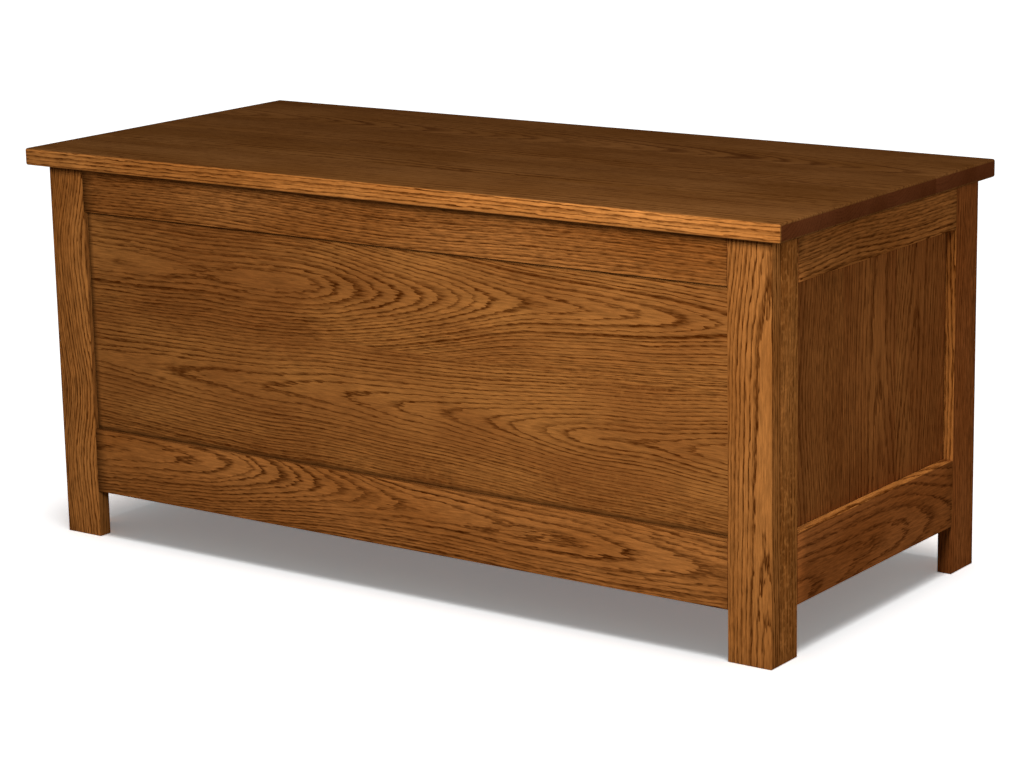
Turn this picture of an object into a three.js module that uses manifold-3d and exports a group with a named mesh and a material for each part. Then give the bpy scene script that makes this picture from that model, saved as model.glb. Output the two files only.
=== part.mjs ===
// Blanket chest in stained oak: a frame-and-panel case on four legs, a slab lid on a continuous
// hinge, and two slotted stays that stop the lid when it stands open.
// Millimetres, +Z up, +X to the right and +Y to the back, seen from the front.
// The origin is on the floor, under the middle of the overall box.

import * as THREE from 'three';
import * as BufferGeometryUtils from 'three/addons/utils/BufferGeometryUtils.js';
import Module from 'manifold-3d';

const wasm = await Module();
wasm.setup();

// Case
const caseWidth = 1074;
const caseDepth = 489;
const caseHeight = 488;
const stock = 19; // thickness of every frame member
const stileWidth = 57;
const topRailHeight = 57;
const bottomRailHeight = 84;
const legClearance = 61; // floor to the lower edge of the bottom rails
const arris = 0.8; // easing on the long edges that show

// Joinery
const panelThickness = 6;
const panelTongue = 9; // how far a panel reaches into its frame
const panelEdgeRoom = 1; // room for a panel to swell past its tongue
const frontPanelRecess = 6.5;
const backPanelRecess = 6.5;
const tenonLength = 24;
const tenonThickness = 6;
const tenonShoulder = 11; // wood above and below a tenon, more than a panel's reach
const tenonEndRoom = 1.5;
const backRabbet = 9.5; // how far the back is let into each side
const splineThickness = 4;
const splineWidth = 16;
const splineLength = 330;
const splineEndRoom = 0.5;

// Floor of the case
const cleatSize = 19;
const cleatLift = 6; // cleats above the lower edge of the bottom rails
const floorBoardCount = 8;
const floorBoardThickness = 12;
const floorBoardGap = 0.6;
const floorTongueThickness = 4;
const floorTongueReach = 5;
const floorGrooveRoom = 0.5;
const floorBoardArris = 1;

// Lid
const lidThickness = 22;
const lidFrontOverhang = 20;
const lidSideOverhang = 22;
const lidGap = 0.3; // lid above the case top
const lidCornerRadius = 5;
const lidArrisRadius = 3;
const lidOpenDegrees = 100;
const battenWidth = 45;
const battenThickness = 18;
const battenEndRoom = 25; // batten ends to the inside of the case
const battenEndBevel = 10;
const battenOffset = 300; // each batten from the middle of the lid

// Continuous hinge
const hingeEndRoom = 10; // hinge ends to the inside of the case
const knuckleCount = 41;
const knuckleGap = 0.3;
const barrelRadius = 3;
const boreRadius = 1.6;
const pinRadius = 1.25;
const pinHeadRadius = 2.2;
const pinHeadThickness = 0.9;
const leafThickness = 1.4;
const leafWidth = 17;
const leafBarrelGap = 0.5; // each leaf to the other leaf's knuckles
const leafRootOverlap = 0.6; // how deep a leaf runs into its own knuckles
const leafScrewCount = 10;
const leafScrewRadius = 2.1;
const leafScrewEndInset = 32;

// Stays
const stayRadius = 180; // both stay pivots from the hinge axis
const lidPivotDrop = 12; // below the hinge axis, lid shut
const casePivotDrop = 38;
const armThickness = 2;
const armWidth = 14;
const armStandoff = 4; // side of the case to the near face of the arm
const armPlay = 0.4; // arm to the faces on each side of it
const armTip = 6; // metal past the far end of the slot
const slotPlay = 0.4; // between stud and slot, each side
const stopRoom = 0.3; // stud to the slot's end at each limit
const studRadius = 2.5;
const studCollarRadius = 4.5;
const studHeadRadius = 5.5;
const studHeadThickness = 1.6;
const plateThickness = 2;
const plateLength = 50;
const plateHeight = 15;
const plateCornerRadius = 5;
const plateScrewOffset = 17;
const plateScrewRadius = 2.1;
const rivetRadius = 2.2;
const rivetPlay = 0.4;
const rivetHeadRadius = 4.5;
const rivetHeadThickness = 1.3;
const bracketThickness = 2;
const bracketLength = 44;
const bracketReach = 20; // screw flange along the lid
const bracketEarWidth = 30; // ear at the lid
const bracketEarRadius = 6.5; // ear round its rivet
const bracketScrewOffset = 15;
const bracketScrewRadius = 2.1;

// Clearances and rounding
const fitGap = 0.3; // between wooden or metal faces that meet
const overrun = 8; // cuts run this far past the wood
const roundSides = 16;
const barrelSides = 12;
const smallHoleSides = 8;
const halfRoundSteps = 8;
const lidCurveSteps = 5;
const lidArrisSteps = 3;
const weldTolerance = 1e-4;

// Places worked out from the sizes
const overallDepth = lidFrontOverhang + caseDepth + fitGap + 2 * barrelRadius;
const frontY = -overallDepth / 2 + lidFrontOverhang;
const backY = frontY + caseDepth;
const sideX = caseWidth / 2;
const innerX = sideX - stock;
const hingeLength = 2 * (innerX - hingeEndRoom);
const hingeBack = fitGap + barrelRadius; // hinge axis behind the case
const hingeY = backY + hingeBack;
const hingeZ = caseHeight + lidGap / 2;
const bottomRailTop = legClearance + bottomRailHeight;
const topRailFoot = caseHeight - topRailHeight;
const lidWidth = caseWidth + 2 * lidSideOverhang;
const lidDepth = caseDepth + lidFrontOverhang;
const leafSeatDepth = leafThickness + fitGap;
const leafFarEdge = barrelRadius + leafBarrelGap + leafWidth; // from the hinge axis

// Finishes
const oak = new THREE.MeshStandardMaterial({ color: 0x7a4a22, roughness: 0.5, metalness: 0 });
const oakPanel = new THREE.MeshStandardMaterial({ color: 0x86532a, roughness: 0.5, metalness: 0 });
const oakLid = new THREE.MeshStandardMaterial({ color: 0x65401f, roughness: 0.42, metalness: 0 });
const cedar = new THREE.MeshStandardMaterial({ color: 0xb9795a, roughness: 0.7, metalness: 0 });
const poplar = new THREE.MeshStandardMaterial({ color: 0xb49a6b, roughness: 0.7, metalness: 0 });
const brass = new THREE.MeshStandardMaterial({ color: 0xb08d4a, roughness: 0.35, metalness: 1 });

// Solids: three.js geometry in and out of manifold-3d

function toSolid(geometry) {
  const bare = geometry.clone();
  bare.deleteAttribute('normal');
  bare.deleteAttribute('uv');
  const merged = BufferGeometryUtils.mergeVertices(bare, weldTolerance);
  return new wasm.Manifold(new wasm.Mesh({
    numProp: 3,
    vertProperties: new Float32Array(merged.attributes.position.array),
    triVerts: new Uint32Array(merged.index.array),
  }));
}

function toGeometry(solid) {
  const { vertProperties, triVerts } = solid.getMesh();
  const geometry = new THREE.BufferGeometry();
  geometry.setAttribute('position', new THREE.BufferAttribute(new Float32Array(vertProperties), 3));
  geometry.setIndex(new THREE.BufferAttribute(new Uint32Array(triVerts), 1));
  geometry.computeVertexNormals();
  return geometry;
}

function named(name, geometry, material) {
  const mesh = new THREE.Mesh(geometry, material);
  mesh.name = name;
  return mesh;
}

// A plain block between two corners, used to build and to cut.
function block(low, high) {
  const size = high.map((value, i) => value - low[i]);
  const geometry = new THREE.BoxGeometry(...size);
  geometry.translate(...low.map((value, i) => value + size[i] / 2));
  return toSolid(geometry);
}

// A shape drawn in two axes and carried along the third, from one place to another.
// Along x the shape is drawn in (y, z), along y in (z, x), along z in (x, y).
function carry(axis, shape, from, to, segments = halfRoundSteps) {
  const geometry = new THREE.ExtrudeGeometry(shape, {
    depth: to - from, bevelEnabled: false, curveSegments: segments,
  });
  geometry.translate(0, 0, from);
  const x = new THREE.Vector3(1, 0, 0);
  const y = new THREE.Vector3(0, 1, 0);
  const z = new THREE.Vector3(0, 0, 1);
  const basis = { x: [y, z, x], y: [z, x, y], z: [x, y, z] }[axis];
  geometry.applyMatrix4(new THREE.Matrix4().makeBasis(...basis));
  return geometry;
}

// A rectangle whose corners are cut by the given easings, in the order
// low-low, high-low, high-high, low-high.
function easedRectangle(low, high, eases) {
  const [x0, y0] = low;
  const [x1, y1] = high;
  const [a, b, c, d] = eases;
  const points = [
    [x0 + a, y0], [x1 - b, y0], [x1, y0 + b], [x1, y1 - c],
    [x1 - c, y1], [x0 + d, y1], [x0, y1 - d], [x0, y0 + a],
  ];
  const distinct = points.filter(([x, y], i) => {
    const [nextX, nextY] = points[(i + 1) % points.length];
    return x !== nextX || y !== nextY;
  });
  return new THREE.Shape(distinct.map(([x, y]) => new THREE.Vector2(x, y)));
}

function circlePoints(radius, sides, x = 0, y = 0) {
  return Array.from({ length: sides }, (_, i) => {
    const angle = i / sides * 2 * Math.PI;
    return new THREE.Vector2(x + radius * Math.cos(angle), y + radius * Math.sin(angle));
  });
}

function hole(radius, sides, x = 0, y = 0) {
  return new THREE.Path(circlePoints(radius, sides, x, y));
}

// A round solid about the x axis from a profile of (along, radius) pairs.
function turned(profile, sides = roundSides) {
  const points = profile.map(([along, radius]) => new THREE.Vector2(radius, along));
  const geometry = new THREE.LatheGeometry(points, sides);
  const x = new THREE.Vector3(1, 0, 0);
  const y = new THREE.Vector3(0, 1, 0);
  const z = new THREE.Vector3(0, 0, 1);
  geometry.applyMatrix4(new THREE.Matrix4().makeBasis(y, x, z.negate()));
  return toSolid(geometry);
}

// Frame and panel

// Five solids of one frame, drawn facing -Y with the outer face at y = 0 and centred in x.
// The panel lies in a groove, or in a rabbet that is open to the inside.
function framePanel({ width, foot, lowStile, highStile, recess, rabbeted }) {
  const lowEdge = -width / 2;
  const highEdge = width / 2;
  const lowShoulder = lowEdge + lowStile;
  const highShoulder = highEdge - highStile;
  const seatBack = rabbeted ? stock + overrun : recess + panelThickness + fitGap;
  const seatReach = panelTongue + panelEdgeRoom;
  const seat = block(
    [lowShoulder - seatReach, recess - fitGap, bottomRailTop - seatReach],
    [highShoulder + seatReach, seatBack, topRailFoot + seatReach],
  );
  const tenonMiddle = rabbeted ? recess / 2 : stock / 2;
  const tenonNear = tenonMiddle - tenonThickness / 2;
  const tenonFar = tenonMiddle + tenonThickness / 2;

  function mortises(shoulder, inward) {
    const blind = shoulder + inward * (tenonLength + tenonEndRoom);
    const open = shoulder - inward * overrun;
    const [x0, x1] = [Math.min(blind, open), Math.max(blind, open)];
    return [[legClearance, bottomRailTop], [topRailFoot, caseHeight]].map(([z0, z1]) => block(
      [x0, tenonNear - fitGap, z0 + tenonShoulder - fitGap],
      [x1, tenonFar + fitGap, z1 - tenonShoulder + fitGap],
    ));
  }

  function stile(low, high, eases, shoulder, inward) {
    const shape = easedRectangle([low, 0], [high, stock], eases);
    const bare = toSolid(carry('z', shape, foot, caseHeight));
    return mortises(shoulder, inward).reduce((wood, cut) => wood.subtract(cut), bare).subtract(seat);
  }

  function rail(z0, z1) {
    const shape = easedRectangle([0, z0], [stock, z1], [arris, arris, arris, arris]);
    const body = toSolid(carry('x', shape, lowShoulder + fitGap, highShoulder - fitGap));
    const tenon = block(
      [lowShoulder - tenonLength, tenonNear, z0 + tenonShoulder],
      [highShoulder + tenonLength, tenonFar, z1 - tenonShoulder],
    );
    return body.add(tenon).subtract(seat);
  }

  return {
    lowStile: stile(lowEdge, lowShoulder, [arris, 0, 0, arris], lowShoulder, -1),
    highStile: stile(highShoulder, highEdge, [0, arris, arris, 0], highShoulder, 1),
    topRail: rail(topRailFoot, caseHeight),
    bottomRail: rail(legClearance, bottomRailTop),
    panel: block(
      [lowShoulder - panelTongue, recess, bottomRailTop - panelTongue],
      [highShoulder + panelTongue, recess + panelThickness, topRailFoot + panelTongue],
    ),
  };
}

function frameGroup(names, solids, panelMaterial, place, turn) {
  const group = new THREE.Group();
  for (const [part, name] of Object.entries(names)) {
    group.add(named(name, toGeometry(solids[part]), part === 'panel' ? panelMaterial : oak));
  }
  group.position.set(...place);
  group.rotation.z = turn;
  return group;
}

const splineFoot = (caseHeight + legClearance - splineLength) / 2;
const splineTop = splineFoot + splineLength;

// The slot for a spline, cut half its width into the joint between front and side.
function splineSlot(x0, x1, y0, y1) {
  return block(
    [x0, y0, splineFoot - splineEndRoom],
    [x1, y1, splineTop + splineEndRoom],
  );
}

const splineHalf = splineThickness / 2 + fitGap;
const splineReach = splineWidth / 2 + splineEndRoom;

function frontFrame() {
  const parts = framePanel({
    width: caseWidth, foot: 0, lowStile: stileWidth, highStile: stileWidth,
    recess: frontPanelRecess, rabbeted: false,
  });
  const slotX = sideX - stock / 2;
  const slotAt = x => splineSlot(x - splineHalf, x + splineHalf, stock - splineReach, stock + overrun);
  parts.lowStile = parts.lowStile.subtract(slotAt(-slotX));
  parts.highStile = parts.highStile.subtract(slotAt(slotX));
  return frameGroup({
    lowStile: 'front_stile_left', highStile: 'front_stile_right', topRail: 'front_top_rail',
    bottomRail: 'front_bottom_rail', panel: 'front_panel',
  }, parts, oakPanel, [0, frontY, 0], 0);
}

// A side frame stands behind the front stiles and is rabbeted at the back for the back frame.
function sideFrame(side) {
  const width = caseDepth - stock - fitGap;
  const frontStile = stileWidth - stock - fitGap;
  const onRight = side > 0;
  const recess = stock - panelThickness;
  const parts = framePanel({
    width, foot: 0, recess, rabbeted: true,
    lowStile: onRight ? frontStile : stileWidth,
    highStile: onRight ? stileWidth : frontStile,
  });
  // In the frame's own axes the back of the case is at +x on the right side, -x on the left.
  const front = onRight ? 'lowStile' : 'highStile';
  const rear = onRight ? 'highStile' : 'lowStile';
  const frontEdge = -side * width / 2;
  const rearEdge = side * width / 2;
  const slotEnds = [frontEdge - side * overrun, frontEdge + side * splineReach];
  const rabbetEnds = [rearEdge - side * (stock + fitGap), rearEdge + side * overrun];
  parts[front] = parts[front].subtract(splineSlot(
    Math.min(...slotEnds), Math.max(...slotEnds), stock / 2 - splineHalf, stock / 2 + splineHalf,
  ));
  parts[rear] = parts[rear].subtract(block(
    [Math.min(...rabbetEnds), stock - backRabbet, legClearance - fitGap],
    [Math.max(...rabbetEnds), stock + overrun, caseHeight + overrun],
  ));
  const prefix = onRight ? 'right' : 'left';
  return frameGroup({
    [front]: `${prefix}_front_stile`, [rear]: `${prefix}_rear_stile`, topRail: `${prefix}_top_rail`,
    bottomRail: `${prefix}_bottom_rail`, panel: `${prefix}_panel`,
  }, parts, oakPanel, [side * sideX, backY - width / 2, 0], side * Math.PI / 2);
}

// The back frame hangs between the sides, clear of the floor, and carries the hinge.
function backFrame() {
  const width = 2 * (innerX + backRabbet - fitGap);
  const parts = framePanel({
    width, foot: legClearance, lowStile: stileWidth, highStile: stileWidth,
    recess: backPanelRecess, rabbeted: false,
  });
  const leafSeat = block(
    [-hingeLength / 2 - fitGap, -overrun, caseHeight - leafSeatDepth],
    [hingeLength / 2 + fitGap, leafFarEdge - hingeBack + fitGap, caseHeight + overrun],
  );
  for (const part of ['lowStile', 'highStile', 'topRail']) {
    parts[part] = parts[part].subtract(leafSeat);
  }
  return frameGroup({
    lowStile: 'back_stile_right', highStile: 'back_stile_left', topRail: 'back_top_rail',
    bottomRail: 'back_bottom_rail', panel: 'back_panel',
  }, parts, oakPanel, [0, backY, 0], Math.PI);
}

// Loose tongues that lock the front stiles to the side frames.
function cornerSplines() {
  const size = [splineThickness, splineWidth, splineLength];
  return [[-1, 'left'], [1, 'right']].map(([side, word]) => {
    const spline = named(`corner_spline_${word}`, new THREE.BoxGeometry(...size), poplar);
    spline.position.set(side * (sideX - stock / 2), frontY + stock, splineFoot + splineLength / 2);
    return spline;
  });
}

// Floor: boards from front to back on four cleats

const cleatFoot = legClearance + cleatLift;
const insideFront = frontY + stock;
const insideBack = backY - stock;

function cleat(name, axis, low, high, shape) {
  return named(name, carry(axis, shape, low, high), poplar);
}

function floorCleats() {
  const top = cleatFoot + cleatSize;
  const ease = [arris, arris, arris, arris];
  const frontShape = easedRectangle(
    [insideFront + fitGap, cleatFoot], [insideFront + fitGap + cleatSize, top], ease,
  );
  const backShape = easedRectangle(
    [insideBack - fitGap - cleatSize, cleatFoot], [insideBack - fitGap, top], ease,
  );
  const reach = innerX - fitGap;
  const endFront = insideFront + cleatSize + 2 * fitGap;
  const endBack = insideBack - cleatSize - 2 * fitGap;
  const leftShape = easedRectangle([cleatFoot, -reach], [top, -reach + cleatSize], ease);
  const rightShape = easedRectangle([cleatFoot, reach - cleatSize], [top, reach], ease);
  return [
    cleat('floor_cleat_front', 'x', -reach, reach, frontShape),
    cleat('floor_cleat_back', 'x', -reach, reach, backShape),
    cleat('floor_cleat_left', 'y', endFront, endBack, leftShape),
    cleat('floor_cleat_right', 'y', endFront, endBack, rightShape),
  ];
}

// A tongued and grooved board, drawn in (z, x) from its lower left edge.
function floorBoardShape(width, grooved, tongued) {
  const tongueFoot = (floorBoardThickness - floorTongueThickness) / 2;
  const tongueTop = tongueFoot + floorTongueThickness;
  const grooveDepth = floorTongueReach + floorGrooveRoom;
  const tongue = [
    [width, tongueFoot], [width + floorTongueReach, tongueFoot],
    [width + floorTongueReach, tongueTop], [width, tongueTop],
  ];
  const groove = [
    [0, tongueTop + fitGap], [grooveDepth, tongueTop + fitGap],
    [grooveDepth, tongueFoot - fitGap], [0, tongueFoot - fitGap],
  ];
  const outline = [
    [0, 0], [width, 0],
    ...(tongued ? tongue : []),
    [width, floorBoardThickness - floorBoardArris], [width - floorBoardArris, floorBoardThickness],
    [floorBoardArris, floorBoardThickness], [0, floorBoardThickness - floorBoardArris],
    ...(grooved ? groove : []),
  ];
  return new THREE.Shape(outline.map(([x, z]) => new THREE.Vector2(z, x)));
}

function floorBoards() {
  const span = 2 * (innerX - fitGap);
  const pitch = (span + floorBoardGap) / floorBoardCount;
  const length = insideBack - insideFront - 2 * fitGap;
  return Array.from({ length: floorBoardCount }, (_, i) => {
    const shape = floorBoardShape(pitch - floorBoardGap, i > 0, i < floorBoardCount - 1);
    const board = named(`floor_board_${i + 1}`, carry('y', shape, 0, length), cedar);
    const x = -span / 2 + i * pitch;
    board.position.set(x, insideFront + fitGap, cleatFoot + cleatSize + fitGap);
    return board;
  });
}

// Lid, drawn about the hinge axis

// The seat that both leaves are let into, from the hinge axis forward.
function lidLeafSeat() {
  return block(
    [-hingeLength / 2 - fitGap, -leafFarEdge - fitGap, -overrun],
    [hingeLength / 2 + fitGap, overrun, lidGap / 2 + leafSeatDepth],
  );
}

function lidSlab() {
  const [w, d, r] = [lidWidth / 2, lidDepth / 2, lidCornerRadius];
  const shape = new THREE.Shape();
  shape.absarc(w - r, d - r, r, 0, Math.PI / 2);
  shape.absarc(-w + r, d - r, r, Math.PI / 2, Math.PI);
  shape.absarc(-w + r, -d + r, r, Math.PI, 3 * Math.PI / 2);
  shape.absarc(w - r, -d + r, r, 3 * Math.PI / 2, 2 * Math.PI);
  const geometry = new THREE.ExtrudeGeometry(shape, {
    depth: lidThickness - 2 * lidArrisRadius, curveSegments: lidCurveSteps,
    bevelEnabled: true, bevelSegments: lidArrisSteps, bevelThickness: lidArrisRadius,
    bevelSize: lidArrisRadius, bevelOffset: -lidArrisRadius,
  });
  geometry.translate(0, -hingeBack - lidDepth / 2, lidGap / 2 + lidArrisRadius);
  return named('lid_slab', toGeometry(toSolid(geometry).subtract(lidLeafSeat())), oakLid);
}

// Two battens screwed under the slab keep it flat. Their ends are bevelled.
function lidBattens() {
  const length = caseDepth - 2 * stock - 2 * battenEndRoom;
  const back = -hingeBack - stock - battenEndRoom;
  const top = lidGap / 2 - fitGap;
  const foot = top - battenThickness;
  const shape = new THREE.Shape([
    [back, top], [back - length, top], [back - length, top - battenThickness / 2],
    [back - length + battenEndBevel, foot], [back - battenEndBevel, foot],
    [back, top - battenThickness / 2],
  ].map(([y, z]) => new THREE.Vector2(y, z)));
  return [[-1, 'left'], [1, 'right']].map(([side, word]) => {
    const middle = side * battenOffset;
    const geometry = carry('x', shape, middle - battenWidth / 2, middle + battenWidth / 2);
    return named(`lid_batten_${word}`, geometry, oak);
  });
}

// Continuous hinge, drawn about its own pin

const knucklePitch = (hingeLength + knuckleGap) / knuckleCount;

function knuckleEnds(i) {
  const start = -hingeLength / 2 + i * knucklePitch;
  return [start, start + knucklePitch - knuckleGap];
}

// Screw places along a leaf, evenly spaced between the end insets.
function leafScrewPlaces() {
  const reach = hingeLength / 2 - leafScrewEndInset;
  return Array.from({ length: leafScrewCount }, (_, i) => -reach + 2 * reach * i / (leafScrewCount - 1));
}

// One leaf: a flat plate with every second knuckle rolled from its edge.
// The lid leaf lies above the pin's plane and has the odd knuckles, the case leaf below it.
function hingeLeaf(onLid) {
  const z0 = onLid ? lidGap / 2 : -lidGap / 2 - leafThickness;
  const z1 = z0 + leafThickness;
  const near = -barrelRadius - leafBarrelGap;
  let leaf = block([-hingeLength / 2, -leafFarEdge, z0], [hingeLength / 2, near, z1]);
  const ring = new THREE.Shape(circlePoints(barrelRadius, barrelSides));
  ring.holes.push(hole(boreRadius, barrelSides));
  for (let i = onLid ? 1 : 0; i < knuckleCount; i += 2) {
    const [start, end] = knuckleEnds(i);
    const root = block([start, near - leafRootOverlap, z0], [end, -boreRadius - leafRootOverlap, z1]);
    leaf = leaf.add(toSolid(carry('x', ring, start, end))).add(root);
  }
  const middle = near - leafWidth / 2;
  for (const x of leafScrewPlaces()) {
    const shape = new THREE.Shape(circlePoints(leafScrewRadius, smallHoleSides, x, middle));
    leaf = leaf.subtract(toSolid(carry('z', shape, z0 - overrun, z1 + overrun)));
  }
  return named(onLid ? 'hinge_lid_leaf' : 'hinge_case_leaf', toGeometry(leaf), brass);
}

function hingePin() {
  const end = hingeLength / 2 + fitGap;
  const profile = [
    [-end - pinHeadThickness, 0], [-end - pinHeadThickness, pinHeadRadius], [-end, pinHeadRadius],
    [-end, pinRadius], [end, pinRadius], [end, pinHeadRadius],
    [end + pinHeadThickness, pinHeadRadius], [end + pinHeadThickness, 0],
  ];
  return named('hinge_pin', toGeometry(turned(profile, barrelSides)), brass);
}

// Stays: distances along x run from the inside face of the case, inward

const plateFace = fitGap + plateThickness;
const armNear = armStandoff;
const armFar = armNear + armThickness;
const earNear = armFar + armPlay;
const earFar = earNear + bracketThickness;

// Both pivots lie on one circle about the hinge, so the arm turns half as far as the lid.
const lidPivot = { y: -Math.sqrt(stayRadius ** 2 - lidPivotDrop ** 2), z: -lidPivotDrop };
const casePivot = { y: -Math.sqrt(stayRadius ** 2 - casePivotDrop ** 2), z: -casePivotDrop };
const shutAngle = Math.asin(casePivotDrop / stayRadius) - Math.asin(lidPivotDrop / stayRadius);
const openAngle = shutAngle + THREE.MathUtils.degToRad(lidOpenDegrees);
const chordShut = 2 * stayRadius * Math.sin(shutAngle / 2);
const chordOpen = 2 * stayRadius * Math.sin(openAngle / 2);
const armTilt = Math.atan2(casePivot.y - lidPivot.y, lidPivot.z - casePivot.z);

// A bar with round ends, drawn in (y, z) and running down from its first centre.
function barPath(Type, radius, top, bottom) {
  const path = new Type();
  path.absarc(0, top, radius, 0, Math.PI);
  path.absarc(0, bottom, radius, Math.PI, 2 * Math.PI);
  return path;
}

function stayArm(word) {
  const slotRadius = studRadius + slotPlay;
  const slotTop = -(chordShut - stopRoom);
  const slotBottom = -(chordOpen + stopRoom);
  const tipCentre = slotBottom - slotRadius - armTip + armWidth / 2;
  const shape = barPath(THREE.Shape, armWidth / 2, 0, tipCentre);
  shape.holes.push(barPath(THREE.Path, slotRadius, slotTop, slotBottom));
  shape.holes.push(hole(rivetRadius + rivetPlay, roundSides));
  return named(`stay_arm_${word}`, carry('x', shape, -armThickness / 2, armThickness / 2), brass);
}

// The plate on the side rail, with a round hole for the stud and one for a screw at each end.
function stayPlate(word) {
  const [l, h, r] = [plateLength / 2, plateHeight / 2, plateCornerRadius];
  const shape = new THREE.Shape();
  shape.absarc(l - r, h - r, r, 0, Math.PI / 2);
  shape.absarc(-l + r, h - r, r, Math.PI / 2, Math.PI);
  shape.absarc(-l + r, -h + r, r, Math.PI, 3 * Math.PI / 2);
  shape.absarc(l - r, -h + r, r, 3 * Math.PI / 2, 2 * Math.PI);
  shape.holes.push(hole(studRadius + fitGap, roundSides));
  shape.holes.push(hole(plateScrewRadius, smallHoleSides, -plateScrewOffset));
  shape.holes.push(hole(plateScrewRadius, smallHoleSides, plateScrewOffset));
  return named(`stay_plate_${word}`, carry('x', shape, fitGap, plateFace, halfRoundSteps / 2), brass);
}

// A shouldered stud: tail in the plate, collar, shank through the slot, low domed head.
function stayStud(word) {
  const collarTop = armNear - armPlay;
  const headFoot = armFar + armPlay;
  const headTop = headFoot + studHeadThickness;
  const profile = [
    [fitGap, 0], [fitGap, studRadius], [plateFace + fitGap, studRadius],
    [plateFace + fitGap, studCollarRadius], [collarTop, studCollarRadius], [collarTop, studRadius],
    [headFoot, studRadius], [headFoot, studHeadRadius],
    [headFoot + studHeadThickness / 2, studHeadRadius], [headTop, studHeadRadius / 2], [headTop, 0],
  ];
  return named(`stay_stud_${word}`, toGeometry(turned(profile)), brass);
}

// The rivet joins the arm to the bracket's ear, with a head on each outer face.
function stayRivet(word) {
  const lowHead = armNear - fitGap;
  const highHead = earFar + fitGap;
  const profile = [
    [lowHead - rivetHeadThickness, 0], [lowHead - rivetHeadThickness, rivetHeadRadius / 2],
    [lowHead - rivetHeadThickness / 2, rivetHeadRadius], [lowHead, rivetHeadRadius],
    [lowHead, rivetRadius], [highHead, rivetRadius], [highHead, rivetHeadRadius],
    [highHead + rivetHeadThickness / 2, rivetHeadRadius],
    [highHead + rivetHeadThickness, rivetHeadRadius / 2], [highHead + rivetHeadThickness, 0],
  ];
  return named(`stay_rivet_${word}`, toGeometry(turned(profile)), brass);
}

// The bracket: a flange screwed under the lid and an ear that narrows down to its rivet.
// It is drawn about the rivet, so the underside of the lid is a pivot drop above.
function stayBracket(word) {
  const top = lidPivotDrop + lidGap / 2 - fitGap;
  const ear = new THREE.Shape();
  ear.moveTo(bracketEarWidth / 2, top);
  ear.lineTo(-bracketEarWidth / 2, top);
  ear.absarc(0, 0, bracketEarRadius, Math.PI, 2 * Math.PI);
  ear.closePath();
  ear.holes.push(hole(rivetRadius + fitGap, roundSides));
  const flange = new THREE.Shape([
    [earNear, -bracketLength / 2], [earNear + bracketReach, -bracketLength / 2],
    [earNear + bracketReach, bracketLength / 2], [earNear, bracketLength / 2],
  ].map(([x, y]) => new THREE.Vector2(x, y)));
  const screwX = earFar + (bracketReach - bracketThickness) / 2;
  for (const y of [-bracketScrewOffset, bracketScrewOffset]) {
    flange.holes.push(hole(bracketScrewRadius, smallHoleSides, screwX, y));
  }
  const solid = toSolid(carry('x', ear, earNear, earFar))
    .add(toSolid(carry('z', flange, top - bracketThickness, top)));
  return named(`stay_bracket_${word}`, toGeometry(solid), brass);
}

// A group whose +x runs inward from the inside face of the given side.
function inwardGroup(side, y, z, pieces) {
  const group = new THREE.Group();
  group.position.set(side * innerX, y, z);
  group.rotation.z = side > 0 ? Math.PI : 0;
  group.add(...pieces);
  return group;
}

function lidStayPieces(side, word) {
  const arm = stayArm(word);
  arm.position.set(side * (innerX - armNear - armThickness / 2), lidPivot.y, lidPivot.z);
  arm.rotation.x = armTilt;
  return [
    inwardGroup(side, lidPivot.y, lidPivot.z, [stayBracket(word), stayRivet(word)]),
    arm,
  ];
}

// Assembly

const chest = new THREE.Group();

const caseGroup = new THREE.Group();
caseGroup.add(frontFrame(), sideFrame(-1), sideFrame(1), backFrame());
caseGroup.add(...cornerSplines(), ...floorCleats(), ...floorBoards());

const caseHinge = new THREE.Group();
caseHinge.position.set(0, hingeY, hingeZ);
caseHinge.add(hingeLeaf(false), hingePin());

const lidGroup = new THREE.Group();
lidGroup.position.set(0, hingeY, hingeZ);
lidGroup.add(lidSlab(), ...lidBattens(), hingeLeaf(true));

for (const [side, word] of [[-1, 'left'], [1, 'right']]) {
  caseHinge.add(inwardGroup(side, casePivot.y, casePivot.z, [stayPlate(word), stayStud(word)]));
  lidGroup.add(...lidStayPieces(side, word));
}

chest.add(caseGroup, caseHinge, lidGroup);

export default chest;
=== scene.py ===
"""Looks of a blanket chest in brown-stained oak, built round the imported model.

Every wooden member is a board with eased edges, carried along its grain, and knows where it lay
in its log, so its growth rings run through faces, edges and ends as they do in real wood.
Lengths are in metres, +Z up, +X to the right and +Y to the back, seen from the front.
"""

import logging
import math
from collections.abc import Callable
from dataclasses import dataclass, field, replace
from enum import Enum
from functools import partial
from itertools import product

import bpy
import numpy as np
from mathutils import Matrix, Vector


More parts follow.
